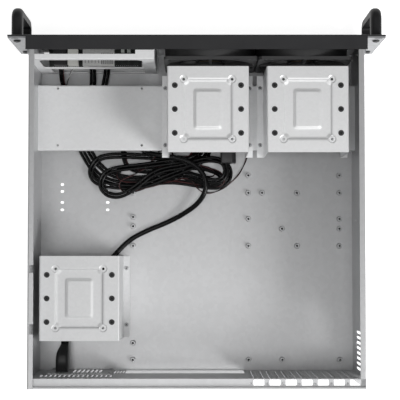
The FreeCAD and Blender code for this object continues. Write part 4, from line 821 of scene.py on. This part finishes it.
TO_RESET_SWITCH = [
    (0.1635, -0.2070, 0.0470), (0.1640, -0.2040, 0.0380), (0.1665, -0.1985, 0.0285),
    (0.1715, -0.1905, 0.0210), (0.1775, -0.1800, 0.0150),
]
in_bundle = beside(PANEL_LEAD, -0.0010, phase=4.0)[len(TO_RESET_SWITCH):]
lay_wires("lead_reset", TO_RESET_SWITCH + in_bundle, RESET_PAIR,
          [white_sheath, sheath], "panel_lead", "black_cord")

for letter, points in (("a", FAN_LEAD_A), ("b", FAN_LEAD_B)):
    lay_wires("lead_fan_" + letter, points, FAN_PAIR, [sheath, red_sheath],
              "fan_lead_" + letter, "red_black_wire")

# %% [markdown]
# ## Making a screw
# A pan-head screw is a turned shape: a low dome, a flat seat and a shank with a thread. A plain
# disc would do from far away, but the recess is what makes a screw look like one. So a profile
# is spun round the axis, and the cross recess is cut out of the dome. The faces inside the
# recess get a second, black finish: painted shade in the recess. The thread is a row of
# grooves and doesn't climb, which at this size can't be seen.

# %% Make a screw
NEAR_AXIS = 0.1
THREAD_PITCH, THREAD_CORE = 0.5, 0.84
DOME = ((0.97, 0), (1, 0.2), (0.93, 0.55), (0.76, 0.82), (0.45, 0.97))  # shares of the head's size
RECESS_ARM, RECESS_WIDTH, RECESS_TAPER = 0.62, 0.13, 0.6


def baked(piece, *helpers):
    """The mesh that a piece's modifiers make; the piece and its helpers are then removed."""
    graph = bpy.context.evaluated_depsgraph_get()
    graph.update()
    data = bpy.data.meshes.new_from_object(piece.evaluated_get(graph))
    for item in (piece, *helpers):
        bpy.data.objects.remove(item)
    return data


def cut(piece, cutter):
    boolean = piece.modifiers.new("cut", "BOOLEAN")
    boolean.object = cutter
    boolean.solver = "EXACT"


def turn_round(mesh, profile, sides, x=0.0, y=0.0, z=0.0):
    """Spin a list of (radius, height) points round an upright axis. All sizes are in mm."""
    skin(mesh, [ring_of(mesh, [((x + radius * math.cos(turn)) / 1000,
                                (y + radius * math.sin(turn)) / 1000, (z + height) / 1000)
                               for turn in round_turns(sides)]) for radius, height in profile])


def cross(arm, width, low, high):
    """A tapered plus sign, to cut the recess of a screw. Sizes in mm."""
    mesh = bmesh.new()
    rings = []
    for height, scale in ((low, RECESS_TAPER), (high, 1.0)):
        a, w = arm * scale / 1000, width * scale / 1000
        plus = [(a, -w), (a, w), (w, w), (w, a), (-w, a), (-w, w),
                (-a, w), (-a, -w), (-w, -w), (-w, -a), (w, -a), (w, -w)]
        rings.append(ring_of(mesh, [(x, y, height / 1000) for x, y in plus]))
    skin(mesh, rings, smooth=False)
    return as_piece("recess", mesh)


def screw_recipe(head, height, shank, length):
    """A screw with its seat at height zero, head up. Head and shank are half widths, in mm."""
    profile = [(NEAR_AXIS, -length), (0.7 * shank, -length)]
    down = -length + 0.15
    while down < -THREAD_PITCH:
        profile += [(shank, down), (THREAD_CORE * shank, down + THREAD_PITCH / 2)]
        down += THREAD_PITCH
    profile.append((shank, -0.05))
    profile += [(head * out, height * up) for out, up in DOME]
    profile.append((NEAR_AXIS, height))
    mesh = bmesh.new()
    turn_round(mesh, profile, 28)
    piece = as_piece("screw", mesh)
    cutter = cross(RECESS_ARM * head, RECESS_WIDTH * head, 0.3 * height, 1.2 * height)
    cut(piece, cutter)
    data = baked(piece, cutter)
    # The faces inside the recess get the second finish, black: painted shade in the recess.
    for face in data.polygons:
        out = math.hypot(face.center.x, face.center.y) * 1000
        if out < 0.66 * head and 0.2 * height < face.center.z * 1000 < 0.8 * height:
            face.material_index = 1
    return data


bracket_screw = screw_recipe(head=2.8, height=1.8, shank=1.45, length=5.4)
print("one bracket screw has", len(bracket_screw.polygons), "faces")

# %% [markdown]
# ## Placing the screws
# Each kind of screw is drawn once and copied to its places, with its shank pointing into the
# sheet. Each copy is turned by an angle of its own, as a hand leaves it. The first screws hold
# the brackets' feet, two brackets on the shelf and the third on the floor. The shelf itself
# hangs on two screws at each end, through the side walls.

# %% Place the screws of the brackets and the shelf
def place_screws(node, recipe, finish, slot_name, seats):
    """Copies of one screw; each seat is its place in mm and the way its shank points."""
    chance = random.Random(node)
    mesh = bmesh.new()
    for place, ahead in seats:
        count = len(mesh.verts)
        mesh.from_mesh(recipe)
        mesh.verts.ensure_lookup_table()
        stand = (-Vector(ahead)).to_track_quat("Z", "Y").to_matrix().to_4x4()
        spin = Matrix.Rotation(chance.uniform(0, 1.57), 4, "Z")
        matrix = Matrix.Translation(Vector(place) / 1000) @ stand @ spin
        bmesh.ops.transform(mesh, matrix=matrix, verts=mesh.verts[count:])
    # The second finish paints the cross recess black, as painted shade.
    fit_to_case(as_piece("set_of_" + node, mesh, finish, black_screw_and_recess_shade), slot_name, node)
    print(node, len(seats), "screws")


def four_round(x, z, across, up):
    """The corners of a rectangle round a middle."""
    return [(x + a * across / 2, z + b * up / 2) for a in (-1, 1) for b in (-1, 1)]


DOWN, AHEAD, BACK = (0, 0, -1), (0, -1, 0), (0, 1, 0)
BRACKET_FEET, BRACKET_SEATS = (112.8, 76.6), {"1": 40.7, "2": 40.7, "3": 2.4}
short_screw = screw_recipe(2.8, 1.8, 1.45, 2.3)
for number, (x, y) in BRACKETS.items():
    recipe = short_screw if number == "3" else bracket_screw
    place_screws("bracket_screws_" + number, recipe, zinc_screw, "zinc_screws",
                 [((px, py, BRACKET_SEATS[number]), DOWN)
                  for px, py in four_round(x, y, *BRACKET_FEET)])
place_screws("shelf_screws", screw_recipe(2.8, 1.4, 1.45, 4.4), zinc_screw, "zinc_screws",
             [((side * 214, y, 30.5), (-side, 0, 0))
              for side in (-1, 1) for y in (-152.6, -104.5)])

# %% [markdown]
# ## Screws of the ears, handles and fans
# Three screws hold each ear to a side wall. The handles are screwed on from behind the ears.
# The fans are held at their corners, from the front through the inner wall.

# %% Screws of the ears, handles and fans
PANEL_MIDDLE, HANDLE_FEET = 66.25, (463.4, 88)
FAN_MIDDLES, FAN_HEIGHT, FAN_HOLES = (-17.8, -139.5), 65.25, (105, 105)
place_screws("ear_screws", screw_recipe(2.8, 1.4, 1.45, 5.2), zinc_screw, "zinc_screws",
             [((side * 216, -209, z), (-side, 0, 0))
              for side in (-1, 1) for z in (PANEL_MIDDLE - 45, PANEL_MIDDLE, PANEL_MIDDLE + 45)])
place_screws("handle_screws", screw_recipe(4.8, 2.6, 2.15, 13), black_screw_and_recess_shade, "zinc_screws",
             [((x, -221, z), AHEAD) for x, z in four_round(0, PANEL_MIDDLE, *HANDLE_FEET)])
place_screws("fan_screws", screw_recipe(3.6, 1.9, 2.0, 9.2), black_screw_and_recess_shade, "black_screws",
             [((px, -220.5, pz), BACK) for x in FAN_MIDDLES
              for px, pz in four_round(x, FAN_HEIGHT, *FAN_HOLES)])

# %% [markdown]
# ## Screws of the mains inlet
# The inlet's plate is fastened from inside the rear wall, and the inlet itself from outside.

# %% Screws of the mains inlet
INLET_X, INLET_Z, PLATE_HOLES = 179.5, 30, (78.6, 62)
place_screws("inlet_plate_screws", screw_recipe(2.8, 1.8, 1.45, 4.4), zinc_screw, "zinc_screws",
             [((x, 210.9, z), BACK) for x, z in four_round(154.5, 36, *PLATE_HOLES)])
place_screws("ac_inlet_screws", screw_recipe(2.8, 1.8, 1.45, 5.2), black_screw_and_recess_shade, "black_screws",
             [((INLET_X, 214.1, z), AHEAD) for z in (INLET_Z - 20, INLET_Z + 20)])

# %% [markdown]
# ## Mains inlet
# The inlet is a moulding, so it has soft corners and one skin. A block with rounded edges
# would miss how it narrows. So its skin is drawn as a row of rings: up out of the socket, over
# its flange, and along the body, which narrows and leans towards the lead.

# %% Mains inlet
OVAL_SIDES = 56


def oval(mesh, x, y, z, half_width, half_height, power):
    """A ring between an ellipse (power 2) and a rounded rectangle (power 8 or more), in mm."""
    corners = []
    for turn in round_turns(OVAL_SIDES):
        angle = turn + math.pi / OVAL_SIDES
        c, s = math.cos(angle), math.sin(angle)
        reach = (abs(c) ** power + abs(s) ** power) ** (-1 / power)
        out, up = half_width * c * reach, half_height * s * reach
        corners.append(((x + out) / 1000, y / 1000, (z + up) / 1000))
    return ring_of(mesh, corners)


INLET_RINGS = [  # shift to the side, y, half width, half height, power
    (0, 199.2, 6.7, 12.0, 9), (0, 213.8, 6.7, 12.0, 9), (0, 214.1, 7.0, 12.3, 9),
    (0, 214.1, 10.9, 24.1, 12), (0, 213.7, 11.3, 24.5, 12), (0, 212.1, 11.3, 24.5, 12),
    (0, 212.1, 8.5, 13.7, 6), (0, 196, 8.5, 13.7, 6), (-0.1, 190.5, 8.4, 13.5, 5),
    (-0.4, 186.5, 8.0, 12.4, 4), (-0.9, 183, 7.3, 10.8, 3.3), (-1.5, 180, 6.5, 8.9, 2.8),
    (-2.1, 177.5, 5.7, 7.1, 2.4), (-2.6, 175.6, 5.1, 5.6, 2.1), (-3.0, 174.2, 4.8, 4.8, 2),
]
mesh = bmesh.new()
skin(mesh, [oval(mesh, INLET_X + shift, y, INLET_Z, width, height, power)
            for shift, y, width, height, power in INLET_RINGS])
inlet = as_piece("mains_inlet_moulding", mesh, black_plastic)
fit_to_case(inlet, "black_plastic", "ac_inlet")
print("inlet:", len(inlet.data.polygons), "faces")

# %% [markdown]
# ## Mains connector
# The connector on the lead's far end is a block with a neck for the lead. Two of its corners
# are cut off more, so that it fits one way round. Three slots are cut into its face, and a
# bevel rounds every sharp edge, which is quicker to change than corners drawn by hand.

# %% Mains connector
def add_box(mesh, middle, size):
    """A plain box; middle and size in mm."""
    place = Matrix.Translation(Vector(middle) / 1000)
    bmesh.ops.create_cube(mesh, size=0.001, matrix=place @ Matrix.Diagonal((*size, 1)))


CONNECTOR_X, CONNECTOR_Z = -43, 15
SECTIONS = [  # y, width, height, how much is cut off the corners at the right and at the left
    (-103, 9, 9, 2.5, 2.5), (-91, 20.4, 27, 1.5, 5), (-69, 20.4, 27, 1.5, 5),
]
mesh = bmesh.new()
rings = []
for y, width, height, right_cut, left_cut in SECTIONS:
    right, left = CONNECTOR_X + width / 2, CONNECTOR_X - width / 2
    low, high = CONNECTOR_Z - height / 2, CONNECTOR_Z + height / 2
    outline = [
        (right, low + right_cut), (right, high - right_cut), (right - right_cut, high),
        (left + left_cut, high), (left, high - left_cut), (left, low + left_cut),
        (left + left_cut, low), (right - right_cut, low)]
    rings.append(ring_of(mesh, [(x / 1000, y / 1000, z / 1000) for x, z in outline]))
skin(mesh, rings, smooth=False)
block = as_piece("block", mesh)
slots = []
for x, z in ((3, -7), (3, 7), (-3, 0)):
    mesh = bmesh.new()
    add_box(mesh, (CONNECTOR_X + x, -75.5, CONNECTOR_Z + z), (5, 14, 2.4))
    slots.append(as_piece("slot", mesh))
    cut(block, slots[-1])
soften = block.modifiers.new("soften", "BEVEL")
soften.width = 0.0011
soften.segments = 3
soften.limit_method = "ANGLE"
soften.angle_limit = math.radians(25)
data = baked(block, *slots)
for face in data.polygons:
    face.use_smooth = True
connector = add_piece("mains_connector_moulding", data, black_plastic)
fit_to_case(connector, "black_plastic", "ac_connector")
print("connector:", len(connector.data.polygons), "faces")

# %% [markdown]
# ## Small parts of the control board
# The port shell has a comb of spring slits, and the switches and ports stand on rows of thin
# soldered pins. They are too fine to cut as solids, so they are small bars set on the board.

# %% Small parts of the control board
def bars(name, finish, slot_name, spots):
    """Small bars with softened edges; each spot is a middle and a size in mm."""
    mesh = bmesh.new()
    for middle, size in spots:
        add_box(mesh, middle, size)
    bmesh.ops.bevel(mesh, geom=mesh.edges[:], offset=0.00006, segments=1, affect="EDGES")
    fit_to_case(as_piece(name, mesh, finish), slot_name)
    print(name, len(spots), "bars")


def row(count, first, pitch, size):
    """Equal bars in a row to the side, from the middle of the first."""
    x, y, z = first
    return [((x + pitch * step, y, z), size) for step in range(count)]


PIN_PITCH, PORT_PIN_PITCH, PIN_SIZE = 2.54, 2.0, (0.7, 0.7, 2.0)
bars("port_slits", port_plastic, "port_plastic",
     row(6, (111.6, -203.5, 72.0), 2.7, (1.1, 15, 0.16))
     + row(5, (129.4, -203.5, 72.0), 4.4, (0.5, 12, 0.12)))
bars("solder_pins", zinc_screw, "zinc_screws",
     row(12, (78.5, -196.2, 56.4), PIN_PITCH, PIN_SIZE)
     + row(20, (110.5, -195.4, 56.2), PORT_PIN_PITCH, (0.6, 0.6, 1.6))
     + row(14, (158.0, -195.3, 56.4), PIN_PITCH, PIN_SIZE))
CHIP_PLACES = ((80, -205), (84, -209), (90, -204), (95, -210), (101, -206), (104, -212), (88, -214))
bars("chip_parts", light_plastic, "light_plastic",
     [((x, y, 55.9), (1.6, 0.9, 0.7)) for x, y in CHIP_PLACES])

# %% [markdown]
# ## Grommet shade discs and slot screws
# A thin dark rubber disc closes each grommet of the drive brackets from below, as painted shade
# inside the holes, so that no light comes up through them. The seven threaded holes in the rear
# ledge each hold a headless screw. Both are made by turning a short outline, once for each place.

# %% Grommet shade discs and slot screws
def turned_bits(name, finish, slot_name, outline, spots):
    """One small turned shape at many spots; its outline is (radius, height) from the spot, in mm."""
    mesh = bmesh.new()
    for x, y, z in spots:
        turn_round(mesh, outline, 20, x, y, z)
    fit_to_case(as_piece(name, mesh, finish), slot_name)
    print(name, len(spots), "pieces")


GROMMET_ACROSS, GROMMET_PITCH = 42.2, 30.5
BRACKET_UNDERSIDES = {"1": 127.4, "2": 127.4, "3": 89.1}
GROMMET_SHADE_DISC = [(NEAR_AXIS, -0.35), (2.0, -0.35), (2.3, -0.2), (2.3, -0.02), (NEAR_AXIS, -0.02)]
HEADLESS = [(NEAR_AXIS, -1.6), (1.2, -1.6), (1.42, -1.4), (1.42, -0.35), (1.2, -0.2),
            (0.6, -0.2), (0.5, -0.7), (NEAR_AXIS, -0.7)]
# The discs paint the shade that would fill the grommet holes.
turned_bits("grommet_shade_discs", rubber, "black_rubber", GROMMET_SHADE_DISC,
            [(x + side * GROMMET_ACROSS, y + place * GROMMET_PITCH, BRACKET_UNDERSIDES[number])
             for number, (x, y) in BRACKETS.items() for side in (-1, 1) for place in (-1, 0, 1)])
turned_bits("slot_screws", zinc_screw, "zinc_screws", HEADLESS,
            [(-68.64 - 1000 * CARD_PITCH * step, 217.9, 126.5) for step in range(7)])
